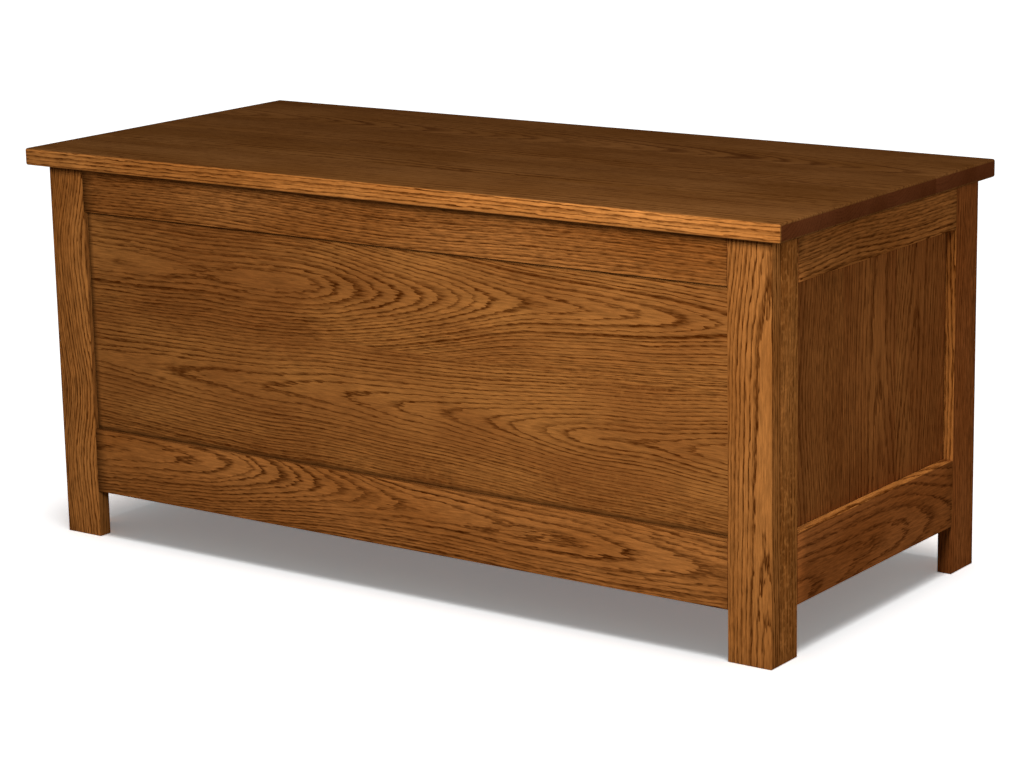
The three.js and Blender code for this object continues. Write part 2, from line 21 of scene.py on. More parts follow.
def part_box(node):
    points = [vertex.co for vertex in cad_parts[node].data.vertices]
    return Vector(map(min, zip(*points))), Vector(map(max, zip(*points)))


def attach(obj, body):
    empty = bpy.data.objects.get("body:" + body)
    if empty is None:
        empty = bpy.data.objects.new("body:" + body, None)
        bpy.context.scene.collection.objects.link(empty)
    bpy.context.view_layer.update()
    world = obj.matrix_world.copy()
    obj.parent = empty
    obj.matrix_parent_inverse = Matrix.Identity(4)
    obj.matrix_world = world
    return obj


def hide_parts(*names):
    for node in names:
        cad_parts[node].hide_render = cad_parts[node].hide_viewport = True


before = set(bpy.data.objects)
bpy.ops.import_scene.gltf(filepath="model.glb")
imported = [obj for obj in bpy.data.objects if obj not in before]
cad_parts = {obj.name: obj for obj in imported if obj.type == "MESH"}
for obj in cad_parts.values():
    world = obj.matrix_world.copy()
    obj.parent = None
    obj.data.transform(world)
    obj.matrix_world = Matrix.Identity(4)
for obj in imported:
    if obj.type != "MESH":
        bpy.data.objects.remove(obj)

log = logging.getLogger("chest")
NodeAdder = Callable[..., bpy.types.NodeSocket | None]

MM = 0.001

# Names of the attributes that a board carries for its finish and for the light and shade painted on
# it
IN_LOG = "in_log"
IN_BOARD = "in_board"
STAIN = "stain"

NARROWING = 0.02  # share by which each year's ring is narrower than the one before
SEED_STEP = np.array([1.7, 0.9, 0.53])  # how far one seed's noise lies from the next one's

FIT_GAP = 0.3 * MM
PANEL_LAP = 1.0 * MM
SHADE_AND_STAIN_WIDTHS = (3 * MM, 3 * MM, 2 * MM, 3 * MM)  # usual widths of the painted shade, partly stain, beside a groove
EASED_EDGE = 1.0 * MM
EDGE_STEPS = 4
END_EASING = 0.8  # easing along the board at an eased end, as a share of the edges' easing
STATION_STEP = 20 * MM
SHARP_STEP = 0.1 * MM  # length over which a cut starts or ends along a board
SAME_PLACE = 0.001 * MM  # points that lie nearer than this are one


# ---- Axes and small helpers


class Axis(Enum):
    """A direction of the frame, by its place in a coordinate."""

    X = 0
    Y = 1
    Z = 2


class Across(Enum):
    """A direction of a board's section, by its place in a pair."""

    WIDTH = 0
    THICKNESS = 1


class Slot(Enum):
    """The record's material slots."""

    OAK_FRAME = "oak_frame"
    OAK_PANEL = "oak_panel"
    OAK_LID = "oak_lid"
    CEDAR = "cedar_floor"
    POPLAR = "poplar"
    BRASS = "brass"


class Body(Enum):
    """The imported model's bodies that new pieces ride on."""

    CASE = "case"
    LID = "lid"


def linear(code: str) -> tuple[float, float, float, float]:
    """Turns an sRGB hex colour into linear light.

    Args:
        code: Six hex digits after a hash sign.

    Returns:
        Linear red, green, blue and an alpha of 1.
    """
    shares = [int(code[i:i + 2], 16) / 255 for i in (1, 3, 5)]
    light = [s / 12.92 if s <= 0.04045 else ((s + 0.055) / 1.055) ** 2.4 for s in shares]
    return (light[0], light[1], light[2], 1.0)


def add_node(
    tree: bpy.types.NodeTree, kind: str, *values: object, **settings: object,
) -> bpy.types.NodeSocket | None:
    """Adds a node with its settings and links.

    Args:
        tree: The node tree that gets the node.
        kind: The node's type name after the word ShaderNode.
        values: A value, or an output to link, for each input in use from the first on. A
            dictionary gives them by the inputs' names.
        settings: Properties of the node itself.

    Returns:
        The node's first output in use, or None where it has none.
    """
    node = tree.nodes.new(f"ShaderNode{kind}")
    for name, value in settings.items():
        setattr(node, name, value)
    in_use = [socket for socket in node.inputs if socket.enabled]
    given = []
    for place, value in enumerate(values):
        if isinstance(value, dict):
            given += [(node.inputs[name], one) for name, one in value.items()]
        else:
            given.append((in_use[place], value))
    for socket, value in given:
        if isinstance(value, bpy.types.NodeSocket):
            tree.links.new(value, socket)
        else:
            socket.default_value = value
    return next((output for output in node.outputs if output.enabled), None)


def empty_tree(owner: bpy.types.Material | bpy.types.World) -> NodeAdder:
    """Empties the node tree of a material or of the world.

    Args:
        owner: The material or world.

    Returns:
        The function that adds a node to the tree.
    """
    owner.use_nodes = True
    owner.node_tree.nodes.clear()
    return partial(add_node, owner.node_tree)


def put(name: str, data: bpy.types.ID) -> bpy.types.Object:
    """Puts a new object into the scene.

    Args:
        name: Its name.
        data: Its mesh, light or camera.

    Returns:
        The object.
    """
    item = bpy.data.objects.new(name, data)
    bpy.context.scene.collection.objects.link(item)
    return item


def smooth_line(values: tuple[float, ...], share: np.ndarray) -> np.ndarray:
    """Reads a smooth line through evenly spaced values.

    Each stretch is the cubic whose slope at a value is half the step between its neighbours.

    Args:
        values: The line's values from its start to its end.
        share: Places along the line, 0 at its start and 1 at its end.

    Returns:
        The line's value at each place.
    """
    known = np.asarray(values, float)
    last = len(known) - 1
    place = np.clip(share, 0, 1) * last
    start = np.minimum(place.astype(int), last - 1)
    t = place - start
    before, a, b, after = (known[np.clip(start + k, 0, last)] for k in (-1, 0, 1, 2))
    return 0.5 * (
        2 * a + (b - before) * t + (2 * before - 5 * a + 4 * b - after) * t**2
        + (3 * a - before - 3 * b + after) * t**3
    )


# ---- How a board was sawn and cut


@dataclass(frozen=True)
class Sawing:
    """Where a board lay in its log. Its own lengths are in millimetres.

    Attributes:
        across: Distance of the pith from the board's middle, read along the board.
        depth: Distance of the pith behind the face, read along the board.
        years: Ring met on the face above the pith, read along the board. An arch of the grain
            has its tip at each whole number. It points along the board where the number rises,
            as it does towards the foot of a tapering log, and back where it falls.
        ring: Width of one year's growth near the pith.
        seed: Moves the board's small irregularities, so that no two boards look alike.
        tone: How much lighter (above 0) or darker this board takes the stain.
    """

    across: tuple[float, ...]
    depth: tuple[float, ...]
    years: tuple[float, ...]
    ring: float
    seed: int
    tone: float = 0.0

    def in_log(self, share: np.ndarray, over: np.ndarray, below: np.ndarray) -> np.ndarray:
        """Gives places in the log: years added by taper, then years across and years deep.

        Args:
            share: Place along the board, 0 to 1.
            over: Metres across the board from its middle.
            below: Metres below the face.

        Returns:
            One row of three numbers for each place.
        """
        ring = self.ring * MM
        across = (over - smooth_line(self.across, share) * MM) / ring
        face = smooth_line(self.depth, share) * MM / ring
        added = smooth_line(self.years, share) - face * (1 + NARROWING * face)
        return np.stack([added, across, face + below / ring], axis=-1)


class Trim:
    """A cut that changes a board's section along its length."""

    def stations(self) -> set[float]:
        """Gives the places along the board where the section changes."""
        return set()

    def steps(self, axis: Across) -> set[float]:
        """Gives the places on an axis of the section where it changes."""
        return set()

    def applied(self, along: np.ndarray, section: np.ndarray) -> np.ndarray:
        """Gives the section at each station after the cut."""
        return section


@dataclass(frozen=True)
class Rebate(Trim):
    """A step or slot cut along a board: inside it, one coordinate is held at a limit.

    Attributes:
        held: The coordinate that is held.
        limit: The value it is held at.
        keeps_below: True where wood above the limit is cut away.
        span: Where the cut lies on the other coordinate.
        stretch: Start and end along the board.
    """

    held: Across
    limit: float
    keeps_below: bool
    span: tuple[float, float] = (-math.inf, math.inf)
    stretch: tuple[float, float] = (-math.inf, math.inf)

    def stations(self) -> set[float]:
        """Gives a pair of close stations at each end of the cut."""
        low, high = self.stretch
        return {low - SHARP_STEP, low, high, high + SHARP_STEP}

    def steps(self, axis: Across) -> set[float]:
        """Gives a pair of close section places at each side of the cut."""
        low, high = self.span
        return set() if axis == self.held else {low, low + SHARP_STEP, high - SHARP_STEP, high}

    def applied(self, along: np.ndarray, section: np.ndarray) -> np.ndarray:
        """Holds the coordinate inside the cut.

        Args:
            along: Place of each station along the board.
            section: Width and thickness coordinates, by station and point.

        Returns:
            The sections with the step cut out.
        """
        value, other = section[..., self.held.value], section[..., 1 - self.held.value]
        tiny = SHARP_STEP / 4
        low, high = self.stretch
        inside = ((along > low - tiny) & (along < high + tiny))[:, None]
        low, high = self.span
        inside = inside & (other > low + tiny) & (other < high - tiny)
        clamp = np.minimum if self.keeps_below else np.maximum
        cut = section.copy()
        cut[..., self.held.value] = np.where(inside, clamp(value, self.limit), value)
        return cut


@dataclass(frozen=True)
class BevelledEnds(Trim):
    """Both ends sloped off from below: the foot rises to a height over a length.

    Attributes:
        low: Start of the board.
        high: End of the board.
        run: Length of each slope.
        foot: Lowest coordinate of the full section.
        rise: Height of the slope at the very end.
    """

    low: float
    high: float
    run: float
    foot: float
    rise: float

    def stations(self) -> set[float]:
        """Gives where each slope begins."""
        return {self.low + self.run, self.high - self.run}

    def applied(self, along: np.ndarray, section: np.ndarray) -> np.ndarray:
        """Lifts the section's foot near the ends, in step with the distance from the end.

        Args:
            along: Place of each station along the board.
            section: Width and thickness coordinates, by station and point.

        Returns:
            The sections with sloped ends.
        """
        to_end = np.minimum(along - self.low, self.high - along)
        lift = self.rise * np.clip(1 - to_end / self.run, 0, 1)
        cut = section.copy()
        cut[..., 1] = np.maximum(section[..., 1], self.foot + lift[:, None])
        return cut


# ---- Meshes


def ring_quads(rows: int, count: int) -> np.ndarray:
    """Joins each closed row of points to the next one with four-cornered faces.

    A face runs from a point to the one after it in its row, and back along the next row.

    Args:
        rows: Rows of points.
        count: Points in each row.

    Returns:
        One row of four point numbers for each face.
    """
    row, column = np.indices((rows - 1, count))
    after = (column + 1) % count
    return np.stack([
        row * count + column, row * count + after,
        (row + 1) * count + after, (row + 1) * count + column,
    ], axis=-1).reshape(-1, 4)


def new_piece(
    name: str, points: np.ndarray, corners: np.ndarray, sizes: np.ndarray,
    attributes: dict[str, np.ndarray] | None = None,
) -> bpy.types.Object:
    """Makes a piece from whole arrays.

    Args:
        name: The piece's name.
        points: Its points.
        corners: Point numbers of its faces in a row.
        sizes: Corners of each face.
        attributes: Attribute name to one row of three numbers for each corner.

    Returns:
        The new object.
    """
    mesh = bpy.data.meshes.new(name)
    mesh.vertices.add(len(points))
    mesh.vertices.foreach_set("co", points.astype(np.float32).ravel())
    mesh.loops.add(len(corners))
    mesh.loops.foreach_set("vertex_index", corners.astype(np.int32))
    mesh.polygons.add(len(sizes))
    mesh.polygons.foreach_set("loop_start", (np.cumsum(sizes) - sizes).astype(np.int32))
    mesh.update(calc_edges=True)
    mesh.validate()
    for key, values in (attributes or {}).items():
        layer = mesh.attributes.new(key, "FLOAT_VECTOR", "CORNER")
        layer.data.foreach_set("vector", values.astype(np.float32).ravel())
    return put(name, mesh)


@dataclass(frozen=True)
class Finished:
    """How a piece is finished and what carries it.

    Attributes:
        material: The piece's material.
        slot: The record's slot it stands for. Not used.
        body: The body it rides on.
    """

    material: bpy.types.Material
    slot: Slot
    body: Body

    def give(self, piece: bpy.types.Object, *nodes: str) -> bpy.types.Object:
        """Dresses a piece and fixes it to its body.

        Args:
            piece: The piece.
            nodes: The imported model's nodes that it stands for.

        Returns:
            The same piece.
        """
        piece.data.materials.append(self.material)
        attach(piece, self.body.value)
        if nodes:
            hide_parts(*nodes)
        log.info("%s: %d faces", piece.name, len(piece.data.polygons))
        return piece


@dataclass
class Board:
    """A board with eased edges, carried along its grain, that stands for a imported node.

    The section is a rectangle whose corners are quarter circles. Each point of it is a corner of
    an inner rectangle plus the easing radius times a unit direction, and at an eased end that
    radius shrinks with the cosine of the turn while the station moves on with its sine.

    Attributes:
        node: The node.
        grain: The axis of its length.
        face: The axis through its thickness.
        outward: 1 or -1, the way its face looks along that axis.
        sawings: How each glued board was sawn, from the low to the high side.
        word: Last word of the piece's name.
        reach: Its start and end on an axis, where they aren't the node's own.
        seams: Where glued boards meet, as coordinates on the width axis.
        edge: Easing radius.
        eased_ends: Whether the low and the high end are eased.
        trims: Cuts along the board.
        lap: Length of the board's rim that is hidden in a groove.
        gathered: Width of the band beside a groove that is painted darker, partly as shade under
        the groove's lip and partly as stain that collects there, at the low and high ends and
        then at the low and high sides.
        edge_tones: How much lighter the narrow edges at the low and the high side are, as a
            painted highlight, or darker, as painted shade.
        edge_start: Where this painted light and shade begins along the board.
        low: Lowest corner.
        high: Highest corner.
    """

    node: str
    grain: Axis
    face: Axis
    outward: int
    sawings: tuple[Sawing, ...]
    word: str = "board"
    reach: dict[Axis, tuple[float, float]] = field(default_factory=dict)
    seams: tuple[float, ...] = ()
    edge: float = EASED_EDGE
    eased_ends: tuple[bool, bool] = (False, False)
    trims: tuple[Trim, ...] = ()
    lap: float = 0.0
    gathered: tuple[float, float, float, float] = SHADE_AND_STAIN_WIDTHS
    edge_tones: tuple[float, float] = (0.0, 0.0)
    edge_start: float = -math.inf
    low: Vector = field(init=False)
    high: Vector = field(init=False)

    def __post_init__(self) -> None:
        """Takes the node's box, and gives it the board's own reach."""
        self.low, self.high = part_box(self.node)
        for axis, ends in self.reach.items():
            self.low[axis.value], self.high[axis.value] = ends

    @property
    def width_axis(self) -> Axis:
        """The axis across the face."""
        return Axis(3 - self.grain.value - self.face.value)

    def bands(self, axis: Axis) -> list[tuple[float, float]]:
        """Works out where the painted shade and stain beside a groove is full and where it has
        faded out on an axis.

        Args:
            axis: The axis.

        Returns:
            Both places at the low and at the high side, or none where the board has no lap.
        """
        if not self.lap:
            return []
        at_low, at_high = self.gathered[:2] if axis == self.grain else self.gathered[2:]
        low, high = self.low[axis.value] + self.lap, self.high[axis.value] - self.lap
        return [(low, low + at_low), (high, high - at_high)]

    def section(self) -> tuple[np.ndarray, np.ndarray]:
        """Works out the section's inner points and directions, counter-clockwise.

        Its straight sides have more points at seams, stain bands and the steps of cuts.

        Returns:
            Inner points and unit directions, each with one row of (width, thickness).
        """
        axes = (self.width_axis.value, self.face.value)
        low = [self.low[axis] + self.edge for axis in axes]
        high = [self.high[axis] - self.edge for axis in axes]
        marks = [{*self.seams}.union(*self.bands(self.width_axis)), set()]
        turns = np.linspace(0, math.pi / 2, EDGE_STEPS + 1)
        inner, ways = [], []
        for side, corner in enumerate((
            (high[0], low[1]), (high[0], high[1]), (low[0], high[1]), (low[0], low[1]),
        )):
            angles = (side - 1) * math.pi / 2 + turns
            inner.append(np.tile(corner, (len(angles), 1)))
            ways.append(np.stack([np.cos(angles), np.sin(angles)], axis=1))
            axis = 1 - side % 2
            places = marks[axis].union(*(trim.steps(Across(axis)) for trim in self.trims))
            places = sorted((p for p in places if low[axis] < p < high[axis]),
                            reverse=side in (1, 2))
            straight = np.tile(corner, (len(places), 1))
            straight[:, axis] = places
            inner.append(straight)
            ways.append(np.tile(ways[-1][-1], (len(places), 1)))
        return np.concatenate(inner), np.concatenate(ways)

    def stations(self) -> tuple[np.ndarray, np.ndarray]:
        """Works out the places along the board and the easing radius at each.

        Returns:
            Places along the grain, and the share of the easing radius that is left there.
        """
        start, end = self.low[self.grain.value], self.high[self.grain.value]
        soft = END_EASING * self.edge
        low, high = start + soft * self.eased_ends[0], end - soft * self.eased_ends[1]
        count = max(2, math.ceil((end - start) / STATION_STEP) + 1)
        marks = set().union(*self.bands(self.grain), *(trim.stations() for trim in self.trims))
        middle = sorted({*np.linspace(low, high, count), *(p for p in marks if low < p < high)})
        turns = np.linspace(math.pi / 2, 0, EDGE_STEPS + 1)[:-1]
        keep = 1 - END_EASING * (1 - np.cos(turns))
        inset = soft * (1 - np.sin(turns))
        first, last = (slice(None if eased else 0) for eased in self.eased_ends)
        return (
            np.concatenate([(start + inset)[first], middle, (end - inset)[last][::-1]]),
            np.concatenate([keep[first], np.ones(len(middle)), keep[last][::-1]]),
        )

    def surface(self) -> tuple[np.ndarray, np.ndarray, np.ndarray, dict[str, np.ndarray]]:
        """Carries the section along the stations, and closes each end of each glued board.

        Returns:
            Points, point numbers of the faces, corners of each face, and corner attributes.
        """
        inner, ways = self.section()
        along, radii = self.stations()
        section = inner + (self.edge * radii)[:, None, None] * ways
        for trim in self.trims:
            section = trim.applied(along, section)
        step = np.abs(section - np.roll(section, -1, axis=1))
        apart = (step > SAME_PLACE).any(axis=(0, 2))
        inner, section = inner[apart], section[:, apart]
        rows, count = len(along), len(inner)
        order = (self.width_axis.value, self.face.value, self.grain.value)
        points = np.empty((rows, count, 3))
        points[..., order[:2]] = section
        points[..., order[2]] = along[:, None]
        points = points.reshape(-1, 3)

        # Faces would look inwards where width, thickness and grain don't follow one another as
        # X, Y and Z do, so they are turned over.
        mirrored = order not in ((0, 1, 2), (1, 2, 0), (2, 0, 1))
        quads = ring_quads(rows, count)[:, ::-1 if mirrored else 1]
        middles = (inner[:, 0] + np.roll(inner[:, 0], -1)) / 2
        of_column = np.searchsorted(np.array(self.seams), middles)
        corners, sizes = [quads.ravel()], [4] * len(quads)
        board = [np.repeat(np.tile(of_column, rows - 1), 4)]
        edges = [-math.inf, *self.seams, math.inf]
        for row, turned in ((0, not mirrored), (rows - 1, mirrored)):
            for number, (low, high) in enumerate(zip(edges, edges[1:])):
                cap = np.flatnonzero((inner[:, 0] >= low) & (inner[:, 0] <= high)) + row * count
                corners.append(cap[::-1] if turned else cap)
                sizes.append(len(cap))
                board.append(np.full(len(cap), number))
        corners = np.concatenate(corners)
        on_end = np.arange(len(corners)) >= quads.size
        grown = self.grown(points[corners], np.concatenate(board), on_end)
        return points, corners, np.array(sizes), grown

    def grown(
        self, places: np.ndarray, board: np.ndarray, on_end: np.ndarray,
    ) -> dict[str, np.ndarray]:
        """Works out where each corner lay in its log, how it takes the stain, and where light and
        shade are painted on it.

        Args:
            places: Corner coordinates.
            board: Which glued board each corner belongs to.
            on_end: Whether it belongs to an end face.

        Returns:
            The corner attributes that the wood reads.
        """
        start, end = self.low[self.grain.value], self.high[self.grain.value]
        along = places[:, self.grain.value]
        face = (self.high if self.outward > 0 else self.low)[self.face.value]
        below = self.outward * (face - places[:, self.face.value])
        width = places[:, self.width_axis.value]
        edges = [self.low[self.width_axis.value], *self.seams, self.high[self.width_axis.value]]
        in_log, in_board, stain = (np.zeros_like(places) for _ in range(3))
        for number, sawing in enumerate(self.sawings):
            mine = board == number
            over = width[mine] - (edges[number] + edges[number + 1]) / 2
            share = (along[mine] - start) / (end - start)
            in_log[mine] = sawing.in_log(share, over, below[mine])
            in_board[mine] = np.stack([along[mine], over, below[mine]], axis=-1)
            in_board[mine] += sawing.seed * SEED_STEP
            stain[mine, 0] = sawing.tone
        stain[:, 1] = on_end
        # Painted shade, partly stain that gathers there, in a band beside each groove: full at the
        # groove and fading out away from it.
        for axis in (self.grain, self.width_axis):
            for full, faded in self.bands(axis):
                near = (faded - places[:, axis.value]) / (faded - full)
                stain[:, 2] = np.clip(near, stain[:, 2], 1)
        # Painted light on the narrow edges: a positive amount lightens them as a painted highlight,
        # and a negative one darkens them as painted shade, in the same channel as the shade beside
        # a groove.
        for from_side, tone in zip((width - edges[0], edges[-1] - width), self.edge_tones):
            on_edge = (from_side < self.edge / 2) & (along > self.edge_start)
            stain[on_edge, 0] += max(tone, 0)
            stain[on_edge, 2] = np.maximum(stain[on_edge, 2], -tone)
        return {IN_LOG: in_log, IN_BOARD: in_board, STAIN: stain}

    def made(self, finish: Finished) -> bpy.types.Object:
        """Makes and dresses the board."""
        return finish.give(new_piece(f"{self.node}_{self.word}", *self.surface()), self.node)


# ---- Finishes


@dataclass(frozen=True)
class Wood:
    """Solid wood, drawn from the rings, pores and rays of the log that the board was sawn from.

    Attributes:
        name: What the wood is and how it was finished.
        latewood: Colour of the dense summer wood.
        latewood_deep: The same where the stain took more.
        earlywood: Colour of the porous spring wood, where the stain gathers.
        pore: Colour of the open pores.
        ring_contrast: How dark the spring wood is, 0 to 1.
        pore_contrast: How much the pores show, 0 to 1.
        ray_contrast: How much the rays show, 0 to 1.
        fibre_contrast: How much the fine fibre streaks show, 0 to 1.
        end_darkening: Share of light that an end face loses.
        roughness: Roughness of the finish on the summer wood.
        specular: Reflection of the finish, on the shader's own scale.
        relief: Depth of the open pores.
    """

    name: str
    latewood: str
    latewood_deep: str
    earlywood: str
    pore: str
    ring_contrast: float
    pore_contrast: float
    ray_contrast: float
    fibre_contrast: float
    end_darkening: float
    roughness: float
    specular: float
    relief: float = 0.25 * MM

    def material(self) -> bpy.types.Material:
        """Builds the wood's node tree.

        Returns:
            The material.
        """
        material = bpy.data.materials.new(self.name)
        node = empty_tree(material)
        in_log, in_board, stain = (
            node("Attribute", attribute_name=name).node.outputs["Vector"]
            for name in (IN_LOG, IN_BOARD, STAIN)
        )
        # The stain attribute holds the board's tone with the painted highlights on narrow edges,
        # whether a corner lies on an end, and the painted shade, partly stain, beside grooves and
        # on shaded narrow edges.
        tone, on_end, gathered = node("SeparateXYZ", stain).node.outputs

        # Noises that follow the board, by their spots to a metre along and across the grain
        noise = {}
        for name, along, across, detail in (
            ("drift", 2.2, 5, 1), ("waver", 11, 24, 1), ("shiver", 60, 150, 1),
            ("jag", 36, 400, 1), ("patch", 4, 26, 1), ("dash", 85, 620, 2),
            ("streak", 40, 520, 2), ("cloud", 5, 14, 2),
        ):
            place = node("VectorMath", in_board, (along, across, across), operation="MULTIPLY")
            noise[name] = node("TexNoise", {"Vector": place, "Scale": 1.0, "Detail": detail})

        # The pith wanders: it drifts over half a metre, wavers over some centimetres, shivers
        # over 10 mm and jags from fibre to fibre, 2 mm across and 30 mm along. Strengths are in
        # years of growth. Each noise averages a half, so half of all strengths is taken off
        # first, and half of the good and bad years' strength below with it.
        rings = node("VectorMath", in_log, (0.6, 0.98, 0.82), operation="SUBTRACT")
        for name, strength in (
            ("drift", (0, 1.0, 0.4)), ("waver", (0, 0.55, 0.36)),
            ("shiver", (0, 0.16, 0.3)), ("jag", (0, 0.25, 0.58)),
        ):
            rings = node("VectorMath", noise[name].node.outputs["Color"], strength, rings,
                         operation="MULTIPLY_ADD")
        added, sideways, deep = node("SeparateXYZ", rings).node.outputs
        flat = node("VectorMath", rings, (0, 1, 1), operation="MULTIPLY")
        grown = node("VectorMath", flat, operation="LENGTH")

        # Rings narrow as the tree ages, and good and bad years make them uneven.
        narrowing = node("Math", grown, NARROWING, 1.0, operation="MULTIPLY_ADD")
        years = node("Math", grown, narrowing, added, operation="MULTIPLY_ADD")
        uneven = node("TexNoise", {"W": years, "Scale": 0.55, "Detail": 1.0},
                      noise_dimensions="1D")
        years = node("Math", uneven, 1.2, years, operation="MULTIPLY_ADD")
        year = node("Math", years, operation="FLOOR")
        season = node("Math", years, operation="FRACT")
        luck = node("TexWhiteNoise", {"W": year}, noise_dimensions="1D").node.outputs["Color"]
        luck = node("SeparateColor", luck).node.outputs

        # Spring wood starts sharply each year and fades into summer wood. It fills more of a
        # ring where the rings are narrow, and is stronger in some years and some patches.
        onset = node("MapRange", season, 0.0, 0.08, interpolation_type="SMOOTHSTEP")
        until = node("MapRange", luck[0], 0.0, 1.0, 0.28, 0.55)
        until = node("Math", grown, 0.02, until, operation="MULTIPLY_ADD")
        fade = node("MapRange", season, 0.15, until, 1.0, 0.0, interpolation_type="SMOOTHSTEP")
        strength = node("MapRange", luck[1], 0.0, 1.0, 0.6, 1.0)
        patch = node("MapRange", noise["patch"], 0.35, 0.55, 0.72, 1.0)
        spring = onset
        for share in (fade, strength, patch):
            spring = node("Math", spring, share, operation="MULTIPLY")

        # Where the rings are narrow their bands run into one another.
        crowded = node("MapRange", grown, 10.0, 26.0, 0.0, 0.6)
        spring = node("Mix", crowded, spring, 0.5, data_type="FLOAT")

        # Pores: dashes along the grain, 0.3 mm wide in oak and drawn about 1.5 mm wide to show.
        # They break the spring wood up, and a few lie in the summer wood too.
        pores = node("MapRange", noise["dash"], 0.42, 0.62)
        broken = node("MapRange", pores, 0.0, 1.0, 0.8, 1.15)
        spring = node("Math", spring, broken, operation="MULTIPLY")
        porous = node("MapRange", spring, 0.0, 1.0, 0.26, 1.0)
        pores = node("Math", pores, porous, operation="MULTIPLY")

        # Rays: sheets that run out from the pith, 10 mm long and drawn about 1 mm wide. They are
        # short dark ticks on a flat-sawn face and wider pale flecks on a quarter-sawn one.
        turn = node("Math", sideways, deep, operation="ARCTAN2")
        rays = node("CombineXYZ", *(
            node("Math", place, scale, operation="MULTIPLY")
            for place, scale in ((node("SeparateXYZ", in_board), 150.0), (turn, 60.0), (grown, 0.6))
        ))
        rays = node("TexNoise", {"Vector": rays, "Scale": 1.0, "Detail": 1.0})
        rays = node("MapRange", rays, 0.52, 0.68)
        quarter = node("Math", sideways, operation="ABSOLUTE")
        quarter = node("Math", quarter, grown, operation="DIVIDE")
        quarter = node("MapRange", quarter, 0.88, 0.97)

        # Fibre: light and dark streaks, 0.1 mm fibres drawn about 1 mm wide. They show most where
        # the rings are narrow.
        fibre = node("MapRange", noise["streak"], 0.3, 0.7, -1.0, 1.0)
        amount = node("Math", crowded, 1.5 * self.fibre_contrast, self.fibre_contrast,
                      operation="MULTIPLY_ADD")
        fibre = node("Math", fibre, amount, 1.0, operation="MULTIPLY_ADD")

        # Rings show less on a board that takes more stain, under the painted shade beside a groove
        # and on a shaded narrow edge, and on an end.
        darker = node("Math", tone, 0.0, operation="MINIMUM")
        contrast = node("Math", darker, 1.6 * self.ring_contrast, self.ring_contrast,
                        operation="MULTIPLY_ADD")
        veil = 1.0
        for place, loss in ((gathered, -0.8), (on_end, -0.7)):
            veil = node("Math", place, loss, veil, operation="MULTIPLY_ADD")
        contrast = node("Math", contrast, veil, operation="MULTIPLY")

        # Colours lie over one another: stain that takes unevenly over hand-sized areas, then
        # spring wood, pores and rays.
        summer, spring_wood = linear(self.latewood), linear(self.earlywood)
        ray_share = node("MapRange", quarter, 0.0, 1.0, self.ray_contrast, 5 * self.ray_contrast)
        colour = summer
        for share, over in (
            (node("MapRange", noise["cloud"], 0.35, 0.65), linear(self.latewood_deep)),
            (node("Math", spring, contrast, operation="MULTIPLY"), spring_wood),
            (node("Math", pores, self.pore_contrast, operation="MULTIPLY"), linear(self.pore)),
            (node("Math", rays, ray_share, operation="MULTIPLY"),
             node("Mix", quarter, spring_wood, summer, data_type="RGBA")),
        ):
            colour = node("Mix", share, colour, over, data_type="RGBA")
        colour = node("VectorMath", colour, fibre, operation="MULTIPLY")

        # A board that takes more stain turns redder as well as darker, and so does end grain, which
        # drinks it; a positive tone, which also carries the painted highlights on narrow edges,
        # makes it lighter. The painted shade beside a groove and on shaded narrow edges, partly
        # stain that gathers there, is only darker.
        dark = self.end_darkening
        for changes in (
            ((tone, (1.0, 1.05, 1.05)), (darker, (0.0, 0.45, 0.35))),
            ((on_end, (-0.8 * dark, -1.2 * dark, -1.0 * dark)), (gathered, (-0.75,) * 3)),
        ):
            light = (1.0, 1.0, 1.0)
            for place, change in changes:
                light = node("VectorMath", place, change, light, operation="MULTIPLY_ADD")
            colour = node("VectorMath", colour, light, operation="MULTIPLY")

        # The finish sinks into the pores, which stay rougher and lie a little lower.
        rough = node("MapRange", pores, 0.0, 1.0, self.roughness, self.roughness + 0.2)
        height = node("Math", spring, 0.35, pores, operation="MULTIPLY_ADD")
        bump = node("Bump", {"Strength": 0.3, "Distance": self.relief, "Height": height},
                    invert=True)
        shader = node("BsdfPrincipled", {
            "Base Color": colour, "Roughness": rough, "Normal": bump,
            "Specular IOR Level": self.specular,
        })
        node("OutputMaterial", shader)
        return material


@dataclass(frozen=True)
class RolledBrass:
    """Rolled sheet brass, lightly tarnished: fine lines along it and duller, browner patches.

    Attributes:
        name: The material's name.
        bright: Colour where hands keep it bright.
        dull: Colour where it has tarnished.
        roughness: Roughness of the bright metal.
    """

    name: str
    bright: str
    dull: str
    roughness: float

    def material(self) -> bpy.types.Material:
        """Builds the metal's node tree.

        Returns:
            The material.
        """
        material = bpy.data.materials.new(self.name)
        node = empty_tree(material)
        place = node("TexCoord").node.outputs["Object"]

        # Tarnish in patches of about 15 mm.
        patch = node("TexNoise", {"Vector": place, "Scale": 65.0, "Detail": 4.0})
        patch = node("MapRange", patch, 0.38, 0.66)
        colour = node("Mix", patch, linear(self.bright), linear(self.dull), data_type="RGBA")
        rough = node("MapRange", patch, 0.0, 1.0, self.roughness, self.roughness + 0.22)

        # Rolling lines run along X, hair-thin and drawn 0.4 mm wide.
        lines = node("VectorMath", place, (20, 1600, 1600), operation="MULTIPLY")
        lines = node("TexNoise", {"Vector": lines, "Scale": 1.0, "Detail": 1.0})
        bump = node("Bump", {"Strength": 0.15, "Distance": 0.05 * MM, "Height": lines})
        shader = node("BsdfPrincipled", {
            "Base Color": colour, "Roughness": rough, "Metallic": 1.0, "Normal": bump,
        })
        node("OutputMaterial", shader)
        return material


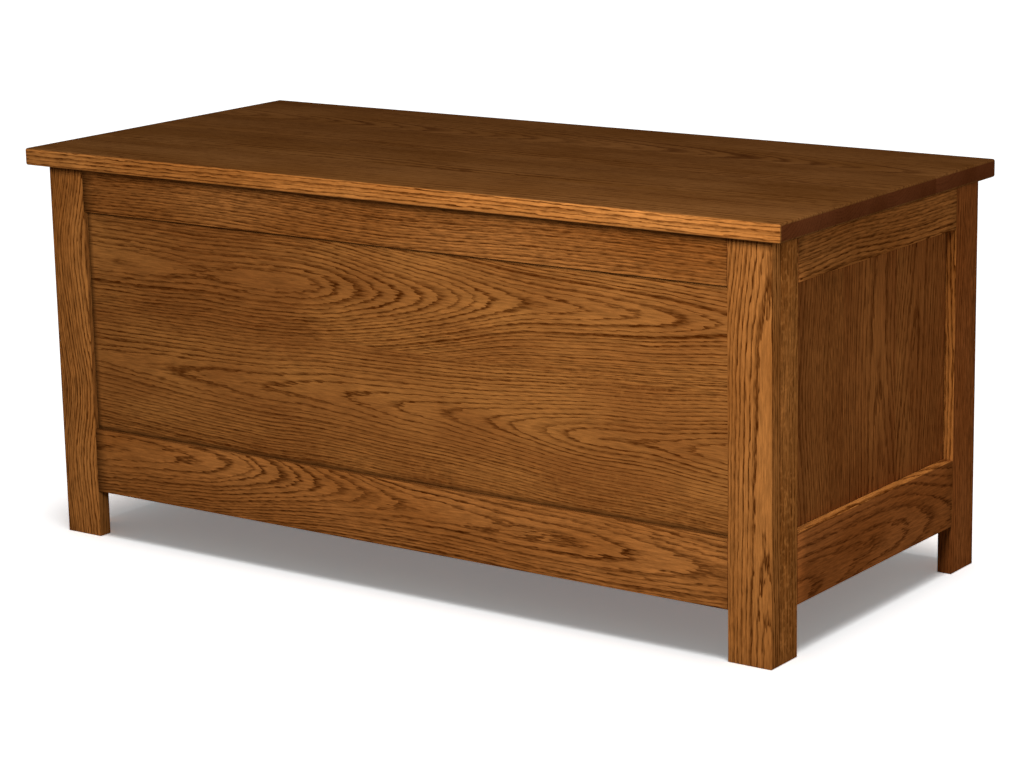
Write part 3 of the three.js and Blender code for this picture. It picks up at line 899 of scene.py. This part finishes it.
# Red oak wiped with brown stain, under flat lacquer: dark spring bands and pores on a warm
# brown ground, with hardly any shine.
FRAME_OAK = Wood(
    name="Brown-stained oak", latewood="#ae6f36", latewood_deep="#995d29",
    earlywood="#4b2103", pore="#3d1902", ring_contrast=1.0, pore_contrast=0.55,
    ray_contrast=0.12, fibre_contrast=0.22, end_darkening=0.35, roughness=0.55, specular=0.0,
)
PANEL_OAK = replace(
    FRAME_OAK, name="Brown-stained oak panel", latewood="#a46932", latewood_deep="#8e5627",
    earlywood="#502404", pore="#401a03", pore_contrast=0.5, ray_contrast=0.05,
)
# The lid's oak is a darker copy of the frame's: painted shade on the lid's slab, chiefly its top.
# Its front edge takes the frame's lighter oak instead.
SHADED_LID_OAK = replace(
    FRAME_OAK, name="Brown-stained oak lid", latewood="#7d5129", latewood_deep="#6f451f",
    earlywood="#43200a", pore="#381905", ring_contrast=0.8, pore_contrast=0.3,
    ray_contrast=0.06, fibre_contrast=0.06, end_darkening=0.44, roughness=0.6,
)
# Aromatic cedar, planed and left bare: pink-brown rings on a paler ground, quite matt.
CEDAR = Wood(
    name="Planed cedar", latewood="#cf9263", latewood_deep="#b87046",
    earlywood="#9a5434", pore="#7f442b", ring_contrast=0.6, pore_contrast=0.15,
    ray_contrast=0.05, fibre_contrast=0.10, end_darkening=0.3, roughness=0.7, specular=0.05,
)
# Yellow poplar, planed and left bare: pale and plain, with faint rings.
POPLAR = replace(
    CEDAR, name="Planed poplar", latewood="#c9b184", latewood_deep="#b39e6b",
    earlywood="#a08d60", pore="#97825a", ring_contrast=0.4, pore_contrast=0.1,
    ray_contrast=0.1, fibre_contrast=0.06, end_darkening=0.25,
)
BRASS = RolledBrass(name="Rolled brass", bright="#c9a35c", dull="#8f6f3c", roughness=0.32)


# ---- The case


@dataclass
class CaseFrame:
    """A frame of two stiles, two rails and a panel that stands back in grooves.

    Attributes:
        title: First word of its rails' and its panel's nodes.
        stiles: Nodes of the stiles at the low and the high end.
        across: The axis from stile to stile.
        outward: 1 or -1, the way the frame looks.
        wood: Finish of its stiles and rails.
        panel: Finish of its panel.
        sawings: Sawings of the low stile, the high stile, the top rail and the bottom rail.
        panel_sawings: Sawings of the panel's glued boards, from low to high.
        panel_seams: Where they meet.
        panel_grain: The axis of their length.
        panel_edge: Easing radius of the panel.
        gathered: Widths of the bands of painted shade, partly stain, beside the grooves on the
            panel.
        stile_trims: Cuts for the low and the high stile.
        rail_trims: Cuts for the top rail.
        inner_painted_light: How much lighter, as a painted highlight, or darker, as painted shade,
            its members' narrow edges round the panel are.
        edge_start: Height below which a stile's narrow edge gets none of this painted light or
            shade and stays as dark as its face.
    """

    title: str
    stiles: tuple[str, str]
    across: Axis
    outward: int
    wood: Finished
    panel: Finished
    sawings: tuple[Sawing, Sawing, Sawing, Sawing]
    panel_sawings: tuple[Sawing, ...]
    panel_seams: tuple[float, ...]
    panel_grain: Axis
    panel_edge: float = 0.5 * MM
    gathered: tuple[float, float, float, float] = SHADE_AND_STAIN_WIDTHS
    stile_trims: tuple[tuple[Trim, ...], tuple[Trim, ...]] = ((), ())
    rail_trims: tuple[Trim, ...] = ()
    inner_painted_light: float = 0.0
    edge_start: float = -math.inf

    def build(self) -> None:
        """Builds the stiles, the rails between them, and the panel, lapped into all four."""
        board = partial(Board, face=Axis(1 - self.across.value), outward=self.outward)
        high_inner, low_inner = (0.0, self.inner_painted_light), (self.inner_painted_light, 0.0)
        for node, sawing, trims, tones in zip(
            self.stiles, self.sawings, self.stile_trims, (high_inner, low_inner),
        ):
            board(node, Axis.Z, sawings=(sawing,), eased_ends=(True, False), trims=trims,
                  edge_tones=tones, edge_start=self.edge_start).made(self.wood)
        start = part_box(self.stiles[0])[1][self.across.value]
        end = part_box(self.stiles[1])[0][self.across.value]
        top, bottom = (f"{self.title}_{word}_rail" for word in ("top", "bottom"))
        for node, sawing, trims, tones in zip(
            (top, bottom), self.sawings[2:], (self.rail_trims, ()), (low_inner, high_inner),
        ):
            board(node, self.across, sawings=(sawing,), trims=trims, edge_tones=tones,
                  reach={self.across: (start + FIT_GAP, end - FIT_GAP)}).made(self.wood)
        reach = {
            self.across: (start - PANEL_LAP, end + PANEL_LAP),
            Axis.Z: (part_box(bottom)[1].z - PANEL_LAP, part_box(top)[0].z + PANEL_LAP),
        }
        board(f"{self.title}_panel", self.panel_grain, sawings=self.panel_sawings,
              word="boards", reach=reach, seams=self.panel_seams, edge=self.panel_edge,
              lap=PANEL_LAP, gathered=self.gathered).made(self.panel)


@dataclass(frozen=True)
class HingeSeat:
    """The seat for a hinge leaf, the same in the case and in the lid.

    Attributes:
        reach: Half its length.
        front: Where it begins, from front to back.
        depth: Its depth.
    """

    reach: float = 508.3 * MM
    front: float = 233.85 * MM
    depth: float = 1.7 * MM


@dataclass
class Case:
    """The case: four frames, the floor on its cleats, and the hidden corner splines.

    Attributes:
        wood: Finish of the frames.
        panel: Finish of the panels.
        cedar: Finish of the floor.
        poplar: Finish of the cleats and splines.
        seat: The hinge seat in the back frame.
        top: Height of the case.
        rabbet_inner: Where each side's rabbet for the back frame ends, from the middle.
        rabbet_front: Where that rabbet begins, from front to back.
        rabbet_foot: Height of its lower end.
        floor_boards: How many boards the floor has.
        tongue_reach: Length of a floor board's tongue.
        tongue_half: Half its thickness.
        groove_depth: Depth of the groove that takes it.
        spline_edge: Easing radius of the splines.
    """

    wood: Finished
    panel: Finished
    cedar: Finished
    poplar: Finished
    seat: HingeSeat = HingeSeat()
    top: float = 488 * MM
    rabbet_inner: float = 527.5 * MM
    rabbet_front: float = 232.05 * MM
    rabbet_foot: float = 60.7 * MM
    floor_boards: int = 8
    tongue_reach: float = 5 * MM
    tongue_half: float = 2 * MM
    groove_depth: float = 5.5 * MM
    spline_edge: float = 0.4 * MM

    def build(self) -> None:
        """Builds the frames, the floor and the splines."""
        self.front().build()
        for side in (1, -1):
            self.side(side).build()
        self.back().build()
        self.floor()
        self.floor_cleats_and_splines()

    def front(self) -> CaseFrame:
        """Gives the front frame, whose panel is glued from two boards with nested arches.

        Returns:
            The frame.
        """
        return CaseFrame(
            "front", ("front_stile_left", "front_stile_right"), Axis.X, -1, self.wood, self.panel,
            sawings=(
                Sawing((62, 55, 70, 60, 50, 66), (36, 40, 34), (0, 0.4, -0.6, 0.5), 5.6, 1, 0.2),
                Sawing((26, 22, 21, 22, 24, 34), (26, 22, 25), (0, 1.1, 1.4, 2.2), 5.6, 2),
                Sawing((-66, -63, -71, -65, -68), (50, 42, 48), (0, 0.4, 0.2), 4.8, 3, -0.03),
                Sawing(
                    (20, 24, 25, 26, 22, 15, 12, 8, 5, 2, 0), (40, 34, 32, 34, 40, 50),
                    (-2.8, -2.4, -1.4, 1.2, 4.6, 6.9, 7.7, 7.9, 8.2, 9.3, 10.4), 4.8, 4, -0.05,
                ),
            ),
            panel_sawings=(
                Sawing(
                    (20, 17, 14, 12, 16, 14, 13, 12, 12, 14, 15), (26, 26, 24, 16, 12, 14),
                    (0.1, -0.5, -1.15, -1.85, -2.6, -3.75, -5.05, -7.05, -9.4, -9.9, -11.6),
                    5.5, 5,
                ),
                Sawing(
                    (3, 2, 1, 1, 3, 4, 9, 13, 15, 16, 18), (42, 40, 34, 25, 20, 20),
                    (-0.45, -0.38, 0.1, -0.35, 0.35, 3.4, 6.7, 10.1, 11.3, 12.5, 14.4), 4.9, 6,
                ),
            ),
            panel_seams=(305 * MM,), panel_grain=Axis.X,
            # Painted shade, partly stain, beside the panel's grooves, and painted shade on the
            # frame's narrow edges round the panel.
            gathered=(8 * MM, 3 * MM, 6 * MM, 3 * MM), inner_painted_light=-0.6,
        )

    def side(self, side: int) -> CaseFrame:
        """Gives a side frame, whose rear stile is rabbeted for the back frame.

        Args:
            side: 1 for the right side, -1 for the left.

        Returns:
            The frame.
        """
        word, seed = ("right", 20) if side > 0 else ("left", 40)
        inner = (-math.inf, self.rabbet_inner) if side > 0 else (-self.rabbet_inner, math.inf)
        rabbet = Rebate(Across.WIDTH, self.rabbet_front, keeps_below=True, span=inner,
                        stretch=(self.rabbet_foot, math.inf))
        return CaseFrame(
            word, (f"{word}_front_stile", f"{word}_rear_stile"), Axis.Y, side, self.wood,
            self.panel,
            sawings=(
                Sawing((75, 70, 78), (14, 16, 12), (0, 0.5), 4.6, seed + 1, 0.12),
                Sawing((-58, -66, -55), (45, 50, 42), (0, 0.8, 0.2), 5.6, seed + 2, -0.25),
                Sawing((-60, -55, -61, -58), (45, 50, 42), (0, 0.4), 5.4, seed + 3, -0.06),
                Sawing((-30, -16, -14, -18), (26, 30, 34), (-1.2, 0.2, 0.9, 3.0), 11.0, seed + 4,
                       -0.22),
            ),
            panel_sawings=(
                Sawing((-52, -60, -50), (46, 40, 44), (0, 0.8, 0.2), 5.4, seed + 5, -0.15),
                Sawing((30, 20, 26), (50, 44, 52), (0, 1.1, 1.7), 6.4, seed + 6, -0.17),
                Sawing((-34, -18, -2), (38, 42, 40), (0, 0.6, 1.6), 5.4, seed + 7, -0.14),
            ),
            panel_seams=(-56 * MM, 70 * MM), panel_grain=Axis.Z,
            # Painted shade, partly stain, beside the panel's grooves; a painted highlight on the
            # members' narrow edges round the panel, which the stiles' edges get only above the
            # rabbet's foot.
            gathered=(1 * MM, 3 * MM, 5 * MM, 2 * MM), stile_trims=((), (rabbet,)),
            inner_painted_light=0.8, edge_start=self.rabbet_foot,
        )

    def back(self) -> CaseFrame:
        """Gives the back frame, whose top edge is cut down for the hinge leaf.

        Returns:
            The frame.
        """
        foot = self.top - self.seat.depth
        return CaseFrame(
            "back", ("back_stile_left", "back_stile_right"), Axis.X, 1, self.wood, self.panel,
            sawings=(
                Sawing((60, 66, 56), (42, 46, 40), (0, 0.8, 0.2), 5.8, 61),
                Sawing((-58, -50, -62), (44, 40, 46), (0, 0.6), 5.6, 62),
                Sawing((-66, -74, -62), (50, 56, 48), (0, 0.6), 5.4, 63),
                Sawing((-14, 2, 12, 4), (36, 40, 38), (0, 1.4, 5.2, 7.0), 4.8, 64),
            ),
            panel_sawings=(
                Sawing((8, -6, 10), (36, 32, 38), (7.2, 3.2, 1.4, 0), 4.4, 65),
                Sawing((-8, 4, -4), (34, 38, 32), (0, 1.6, 6.0, 8.0), 4.4, 66),
            ),
            panel_seams=(296 * MM,), panel_grain=Axis.X,
            stile_trims=tuple(
                (Rebate(Across.WIDTH, side * self.seat.reach, keeps_below=side < 0,
                        stretch=(foot, math.inf)),)
                for side in (-1, 1)
            ),
            rail_trims=(Rebate(Across.WIDTH, foot, keeps_below=True,
                               span=(self.seat.front, math.inf)),),
        )

    def floor(self) -> None:
        """Builds the tongued and grooved cedar boards, sawn from either side of their logs."""
        for number in range(1, self.floor_boards + 1):
            node = f"floor_board_{number}"
            low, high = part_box(node)
            middle = (low.z + high.z) / 2
            trims = []
            if number < self.floor_boards:
                tongue = (high.x - self.tongue_reach, math.inf)
                trims += [
                    Rebate(Across.THICKNESS, middle + side * self.tongue_half,
                           keeps_below=side > 0, span=tongue)
                    for side in (-1, 1)
                ]
            if number > 1:
                half = self.tongue_half + FIT_GAP
                trims.append(Rebate(Across.WIDTH, low.x + self.groove_depth, keeps_below=False,
                                    span=(middle - half, middle + half)))

            # By turns from the left and the right of the log, each a little further out
            pith = (-1) ** number * (8 + 3 * number)
            sawing = Sawing((pith, -pith / 2, pith), (30 + 3 * number, 36, 44),
                            (0, number % 3, 2.5), 5.0, 80 + number, 0.05 * math.sin(2.4 * number))
            Board(node, Axis.Y, Axis.Z, 1, (sawing,), word="cedar",
                  trims=tuple(trims)).made(self.cedar)

    def floor_cleats_and_splines(self) -> None:
        """Builds the floor's cleats, and the tongues between the front stiles and the sides."""
        cleats = (("front", Axis.X), ("back", Axis.X), ("left", Axis.Y), ("right", Axis.Y))
        for seed, (word, grain) in enumerate(cleats, start=95):
            sawing = Sawing((40, 46, 38), (50, 44, 52), (0,), 4.5, seed)
            Board(f"floor_cleat_{word}", grain, Axis.Z, 1, (sawing,),
                  word="poplar").made(self.poplar)
        for seed, word in enumerate(("left", "right"), start=100):
            sawing = Sawing((30,), (40,), (0,), 4.5, seed)
            Board(f"corner_spline_{word}", Axis.Z, Axis.X, 1, (sawing,), word="poplar",
                  edge=self.spline_edge).made(self.poplar)


@dataclass
class Lid:
    """The lid: a slab glued from four boards, and the two battens under it.

    Attributes:
        wood: Finish of the slab.
        batten: Finish of the battens.
        front_lit_edge_wood: Material of the slab's front edge: the lighter frame oak, painted light
            beside
        the painted shade of the top.
        edge: Easing radius of the slab.
        edge_share: How far a face has to look to the front to count as front edge, 0 to 1.
        seams: Where its boards meet, from front to back.
        seat: The hinge seat in its underside.
        batten_run: Length of the slope at a batten's end.
    """

    wood: Finished
    batten: Finished
    front_lit_edge_wood: bpy.types.Material
    edge: float = 3.0 * MM
    edge_share: float = 0.6
    seams: tuple[float, ...] = (-140 * MM, -18 * MM, 98 * MM)
    seat: HingeSeat = HingeSeat()
    batten_run: float = 10 * MM

    def build(self) -> None:
        """Builds the slab and the battens."""
        seat = Rebate(
            Across.THICKNESS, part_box("lid_slab")[0].z + self.seat.depth, keeps_below=False,
            span=(self.seat.front, math.inf), stretch=(-self.seat.reach, self.seat.reach),
        )
        slab = Board(
            "lid_slab", Axis.X, Axis.Z, 1, (
                Sawing((-54, -60, -52, -58), (30, 36, 32), (0, 0.6, 0.1), 6.0, 11, 0.05),
                Sawing((-50, -42, -54, -48), (44, 40, 46), (0, 0.9, 0.3), 5.2, 12),
                Sawing((-48, -42, -50, -46), (40, 44, 42), (0, 0.5, 0.2), 5.2, 13, -0.03),
                Sawing((-54, -56, -58, -60), (56, 62, 60), (0, 6.2, 13.2, 19.6), 6.4, 14, -0.04),
            ),
            word="boards", seams=self.seams, edge=self.edge, eased_ends=(True, True),
            # A painted highlight on the slab's front edge.
            trims=(seat,), edge_tones=(0.3, 0.0),
        ).made(self.wood)
        # The faces that look to the front take the lighter frame oak: painted light on the edge
        # that faces the lamps, beside the painted shade of the top.
        slab.data.materials.append(self.front_lit_edge_wood)
        normals = np.empty(3 * len(slab.data.polygons))
        slab.data.polygons.foreach_get("normal", normals)
        on_edge = -normals.reshape(-1, 3)[:, Axis.Y.value] > self.edge_share
        slab.data.polygons.foreach_set("material_index", on_edge.astype(np.int32))
        for seed, word in enumerate(("left", "right"), start=110):
            low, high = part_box(f"lid_batten_{word}")
            bevel = BevelledEnds(low.y, high.y, self.batten_run, low.z, (high.z - low.z) / 2)
            sawing = Sawing((10, 4, 12), (36, 40, 38), (0, 2.0, 3.0), 4.8, seed)
            Board(f"lid_batten_{word}", Axis.Y, Axis.Z, -1, (sawing,),
                  trims=(bevel,)).made(self.batten)


# ---- Hardware


@dataclass(frozen=True)
class Screw:
    """A countersunk screw head with a cross recess, drawn as rings of points round its axis.

    The head is a low dome, highest in the middle, and the recess is sunk where a point lies
    within half a wing of either cross line and inside the wing's length.

    Attributes:
        radius: Radius of the head.
        rings: Radius of each ring of points, as a share of the head's.
        sides: Points in each ring.
        dome: Height of the dome.
        skirt: How far the rim goes down into the piece.
        wing_length: Reach of the recess.
        wing_half: Half the width of a wing.
        depth: Depth of the recess.
        smooth_angle: Faces that meet at fewer degrees are shaded smooth.
    """

    radius: float = 3.6 * MM
    rings: tuple[float, ...] = (1.0, 0.96, 0.72, 0.54, 0.5, 0.3, 0.12)
    sides: int = 24
    dome: float = 0.35 * MM
    skirt: float = 0.6 * MM
    wing_length: float = 1.9 * MM
    wing_half: float = 0.5 * MM
    depth: float = 0.9 * MM
    smooth_angle: float = 35.0

    def heads(self, name: str, places: list[tuple[Vector, Vector]]) -> bpy.types.Object:
        """Makes a set of screw heads as one piece.

        Args:
            name: The piece's name.
            places: Middle of each head's rim and the unit direction that it looks.

        Returns:
            The new piece.
        """
        radii = self.radius * np.array(self.rings)[:, None]
        angles = np.arange(self.sides) * 2 * math.pi / self.sides
        x, y = radii * np.cos(angles), radii * np.sin(angles)
        in_wing = np.minimum(np.abs(x), np.abs(y)) < self.wing_half
        height = self.dome * (1 - (radii / self.radius) ** 2)
        height = np.where(in_wing & (radii < self.wing_length), -self.depth, height)
        height[0] = -self.skirt
        head = np.concatenate([
            np.stack([x, y, height], axis=-1).reshape(-1, 3),
            [[0, 0, -self.depth], [0, 0, -self.skirt]],
        ])
        points = []
        for centre, way in places:
            side = way.orthogonal().normalized()
            points.append(head @ np.array([side, way.cross(side), way]) + np.array(centre))

        # Fans close the recess round the last point but one, and the skirt round the last.
        quads = ring_quads(len(radii), self.sides)
        rim, middle = np.arange(self.sides), np.full(self.sides, x.size)
        after, inmost = np.roll(rim, -1), x.size - self.sides
        corners = np.concatenate([
            quads.ravel(),
            np.stack([inmost + rim, inmost + after, middle], axis=-1).ravel(),
            np.stack([after, rim, middle + 1], axis=-1).ravel(),
        ])
        sizes = np.repeat([4, 3], [len(quads), 2 * self.sides])
        firsts = len(head) * np.arange(len(places))[:, None]
        piece = new_piece(name, np.concatenate(points), (firsts + corners).ravel(),
                          np.tile(sizes, len(places)))
        piece.data.polygons.foreach_set("use_smooth", np.ones(len(piece.data.polygons), bool))
        piece.data.set_sharp_from_angle(angle=math.radians(self.smooth_angle))
        return piece


@dataclass
class Hardware:
    """The hinge, the stays and all their screws.

    Attributes:
        brass: The metal of the hinge and stays.
        screw: The screw that they all have.
        inner_x: Inner face of each side, from the middle.
        hinge_y: Where the hinge pin lies, from front to back.
        hinge_z: Height of the hinge pin.
        leaf_screw_count: Screws in each leaf.
        leaf_screw_reach: The outer screws from the middle.
        leaf_screw_front: Screw line in front of the pin.
        leaf_screw_rim: Distance of each leaf's screw rims from the pin's plane.
        plate_place: Middle of each stay plate, from front to back, and its height.
        plate_screw_offset: Its screws from that middle.
        plate_face: Distance of its face from the side.
        bracket_y: Middle of each lid bracket, from front to back.
        bracket_screw_offset: Its screws from that middle.
        bracket_screw_in: Distance of its screws from the side.
        bracket_foot: Height of the underside of its foot.
        screw_margin: Outer screws of battens and cleats from the ends.
    """

    brass: bpy.types.Material
    screw: Screw = Screw()
    inner_x: float = 518 * MM
    hinge_y: float = 254.65 * MM
    hinge_z: float = 488.15 * MM
    leaf_screw_count: int = 10
    leaf_screw_reach: float = 476 * MM
    leaf_screw_front: float = 12 * MM
    leaf_screw_rim: float = 0.55 * MM
    plate_place: tuple[float, float] = (78.7068 * MM, 450.15 * MM)
    plate_screw_offset: float = 17 * MM
    plate_face: float = 2.3 * MM
    bracket_y: float = 75.0504 * MM
    bracket_screw_offset: float = 15 * MM
    bracket_screw_in: float = 17.4 * MM
    bracket_foot: float = 486.0 * MM
    screw_margin: float = 45 * MM

    def build(self) -> None:
        """Dresses the metal nodes and adds the screws."""
        for name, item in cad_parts.items():
            if name.startswith(("hinge_", "stay_")):
                item.data.materials.clear()
                item.data.materials.append(self.brass)
        self.metal_screws()
        self.wood_screws()

    def metal_screws(self) -> None:
        """Adds the screws that hold the hinge leaves, the stay plates and the lid brackets."""
        y = self.hinge_y - self.leaf_screw_front
        leaf_xs = np.linspace(-self.leaf_screw_reach, self.leaf_screw_reach, self.leaf_screw_count)
        for body, way in ((Body.CASE, -1), (Body.LID, 1)):
            z = self.hinge_z + way * self.leaf_screw_rim
            self.screws(f"hinge_screws_{body.value}", body, [
                (Vector((x, y, z)), Vector((0, 0, -way))) for x in leaf_xs
            ])
        plates, brackets = [], []
        for side, step in product((-1, 1), repeat=2):
            y, z = self.plate_place
            x = side * (self.inner_x - self.plate_face)
            place = Vector((x, y + step * self.plate_screw_offset, z))
            plates.append((place, Vector((-side, 0, 0))))
            x = side * (self.inner_x - self.bracket_screw_in)
            place = (x, self.bracket_y + step * self.bracket_screw_offset, self.bracket_foot)
            brackets.append((Vector(place), Vector((0, 0, -1))))
        self.screws("stay_plate_screws", Body.CASE, plates)
        self.screws("stay_bracket_screws", Body.LID, brackets)

    def wood_screws(self) -> None:
        """Adds the screws that hold the lid's battens and the floor's cleats."""
        for stem, body, members in (
            ("lid_batten", Body.LID, (
                ("left", Axis.Y, Axis.Z, -1, 4), ("right", Axis.Y, Axis.Z, -1, 4),
            )),
            ("floor_cleat", Body.CASE, (
                ("front", Axis.X, Axis.Y, 1, 6), ("back", Axis.X, Axis.Y, -1, 6),
                ("left", Axis.Y, Axis.X, 1, 3), ("right", Axis.Y, Axis.X, -1, 3),
            )),
        ):
            places = []
            for word, run, axis, way, count in members:
                low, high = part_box(f"{stem}_{word}")
                place, looks = (low + high) / 2, Vector((0, 0, 0))
                place[axis.value] = (high if way > 0 else low)[axis.value]
                looks[axis.value] = way
                start, end = low[run.value] + self.screw_margin, high[run.value] - self.screw_margin
                for along in np.linspace(start, end, count):
                    spot = place.copy()
                    spot[run.value] = along
                    places.append((spot, looks))
            self.screws(f"{stem}_screws", body, places)

    def screws(self, name: str, body: Body, places: list[tuple[Vector, Vector]]) -> None:
        """Adds a set of screws, by middle and direction of each head, that rides on a body."""
        Finished(self.brass, Slot.BRASS, body).give(self.screw.heads(name, places))


# ---- Studio


def seen(node: NodeAdder) -> bpy.types.NodeSocket:
    """Gives 1 for rays that the eye or a reflection follows, and 0 for lighting rays.

    Args:
        node: The function that adds a node to the tree in hand.

    Returns:
        The output.
    """
    path = node("LightPath").node.outputs
    mirror = node("Math", path["Is Glossy Ray"], path["Is Transmission Ray"],
                  operation="MAXIMUM")
    return node("Math", path["Is Camera Ray"], mirror, operation="MAXIMUM")


@dataclass(frozen=True)
class Lamp:
    """A square soft lamp.

    Attributes:
        name: The lamp's name.
        place: Where it hangs.
        target: What it points at.
        size: Its width.
        power: Its power in watts.
    """

    name: str
    place: tuple[float, float, float]
    target: tuple[float, float, float]
    size: float
    power: float

    def hang(self, floor: bpy.types.Object) -> None:
        """Hangs the lamp and shades the floor from it, as a card beneath it would.

        Args:
            floor: The floor.
        """
        data = bpy.data.lights.new(self.name, "AREA")
        data.shape = "SQUARE"
        data.size = self.size
        data.energy = self.power
        item = put(self.name, data)
        item.location = self.place
        ahead = Vector(self.target) - Vector(self.place)
        item.rotation_euler = ahead.to_track_quat("-Z", "Y").to_euler()
        shaded = bpy.data.collections.new(f"{self.name}_shaded")
        shaded.objects.link(floor)
        shaded.collection_objects[0].light_linking.link_state = "EXCLUDE"
        item.light_linking.receiver_collection = shaded


@dataclass
class Studio:
    """A plain white floor, soft light from the front right, and the camera.

    Attributes:
        ambient: Strength of the even light from all round.
        overhead_strength: Strength of each bank of lamps overhead.
        overhead_elevations: How high each bank hangs above the front, in degrees.
        overhead_azimuth: How far they hang to the right of the front, in degrees.
        overhead_width: Angle that each bank fills, in degrees.
        lamps: The lamps nearby.
        floor_size: Width of the floor.
        paper: Share of light that the floor throws back at the chest.
        exposure: The same share where the floor is seen, so high that it clips to white.
        shadow: Colour that the seen floor keeps in the darkest shadow.
        picture_width: Width of the picture in pixels.
        lens_pixels: Focal length, measured in the same pixels.
        sight: How far the camera sees.
        azimuth: How far the camera stands to the right of the front, in degrees.
        elevation: How far it looks down, in degrees.
        roll: Its roll, in degrees.
        place: Where it stands.
    """

    ambient: float = 0.08
    overhead_strength: float = 0.285
    overhead_elevations: tuple[float, ...] = (74.0, 82.0, 88.0)
    overhead_azimuth: float = 50.0
    overhead_width: float = 16.0
    lamps: tuple[Lamp, ...] = (
        Lamp("key", (0.66, -1.4, 1.1), (0.0, -0.24, 0.25), 0.5, 21.3),
        Lamp("side_fill", (2.2, 0.3, 0.9), (0.5, 0.0, 0.25), 0.8, 9.0),
        Lamp("back_fill", (-1.6, 2.4, 0.75), (0.0, 0.25, 0.3), 1.0, 40.0),
    )
    floor_size: float = 60.0
    paper: float = 0.8
    exposure: float = 3.0
    shadow: str = "#6b7173"
    picture_width: int = 1024
    lens_pixels: float = 2957.0
    sight: float = 200.0
    azimuth: float = 35.73
    elevation: float = 13.26
    roll: float = -1.12
    place: tuple[float, float, float] = (2.138, -2.948, 1.073)

    def build(self) -> None:
        """Sets up the camera, the world, the floor and all lamps."""
        self.camera()
        self.world()
        floor = self.floor()
        self.overhead()
        for lamp in self.lamps:
            lamp.hang(floor)

    def camera(self) -> None:
        """Stands the camera where the photograph was taken from."""
        data = bpy.data.cameras.new("camera")
        data.lens = data.sensor_width * self.lens_pixels / self.picture_width
        data.clip_end = self.sight
        item = put("camera", data)
        item.matrix_world = Matrix.Translation(self.place)
        for angle, axis in (
            (self.azimuth, "Z"), (90 - self.elevation, "X"), (self.roll, "Z"),
        ):
            item.matrix_world @= Matrix.Rotation(math.radians(angle), 4, axis)
        bpy.context.scene.camera = item

    def world(self) -> None:
        """Lights everything evenly, and shows plain white where the eye or a reflection looks."""
        world = bpy.data.worlds.new("studio")
        bpy.context.scene.world = world
        node = empty_tree(world)
        strength = node("Mix", seen(node), self.ambient, 1.0, data_type="FLOAT")
        node("OutputWorld", node("Background", linear("#ffffff"), strength))

    def floor(self) -> bpy.types.Object:
        """Lays the floor: seen, it is white paper at full exposure that keeps its shadow.

        Returns:
            The floor.
        """
        half = self.floor_size / 2
        corners = [[-half, -half, 0], [half, -half, 0], [half, half, 0], [-half, half, 0]]
        piece = new_piece("studio_floor", np.array(corners), np.arange(4), np.array([4]))
        material = bpy.data.materials.new("White paper")
        node = empty_tree(material)
        paper, bright = (
            node("BsdfDiffuse", (share, share, share, 1)) for share in (self.paper, self.exposure)
        )
        shown = node("AddShader", bright, node("Emission", linear(self.shadow), 1.0))
        node("OutputMaterial", node("MixShader", seen(node), paper, shown))
        piece.data.materials.append(material)
        return piece

    def overhead(self) -> None:
        """Adds the even light of the banks overhead, in front of the chest and to its right."""
        for number, elevation in enumerate(self.overhead_elevations, start=1):
            data = bpy.data.lights.new(f"overhead_{number}", "SUN")
            data.energy = self.overhead_strength
            data.angle = math.radians(self.overhead_width)
            put(f"overhead_{number}", data).rotation_euler = (
                math.radians(90 - elevation), 0.0, math.radians(self.overhead_azimuth),
            )


def main() -> None:
    """Builds the looks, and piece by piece."""
    logging.basicConfig(level=logging.INFO, format="%(name)s: %(message)s")
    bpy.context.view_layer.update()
    bpy.context.scene.view_settings.view_transform = "Standard"
    Studio().build()
    frame_oak, panel_oak, shaded_lid_oak, cedar, poplar, brass = (
        finish.material() for finish in (FRAME_OAK, PANEL_OAK, SHADED_LID_OAK, CEDAR, POPLAR, BRASS)
    )
    Case(
        wood=Finished(frame_oak, Slot.OAK_FRAME, Body.CASE),
        panel=Finished(panel_oak, Slot.OAK_PANEL, Body.CASE),
        cedar=Finished(cedar, Slot.CEDAR, Body.CASE),
        poplar=Finished(poplar, Slot.POPLAR, Body.CASE),
    ).build()
    Lid(
        wood=Finished(shaded_lid_oak, Slot.OAK_LID, Body.LID),
        batten=Finished(frame_oak, Slot.OAK_FRAME, Body.LID),
        # The lid's front edge takes the frame's lighter oak, painted light beside the top's painted
        # shade.
        front_lit_edge_wood=frame_oak,
    ).build()
    Hardware(brass=brass).build()


if __name__ == "__main__":
    main()
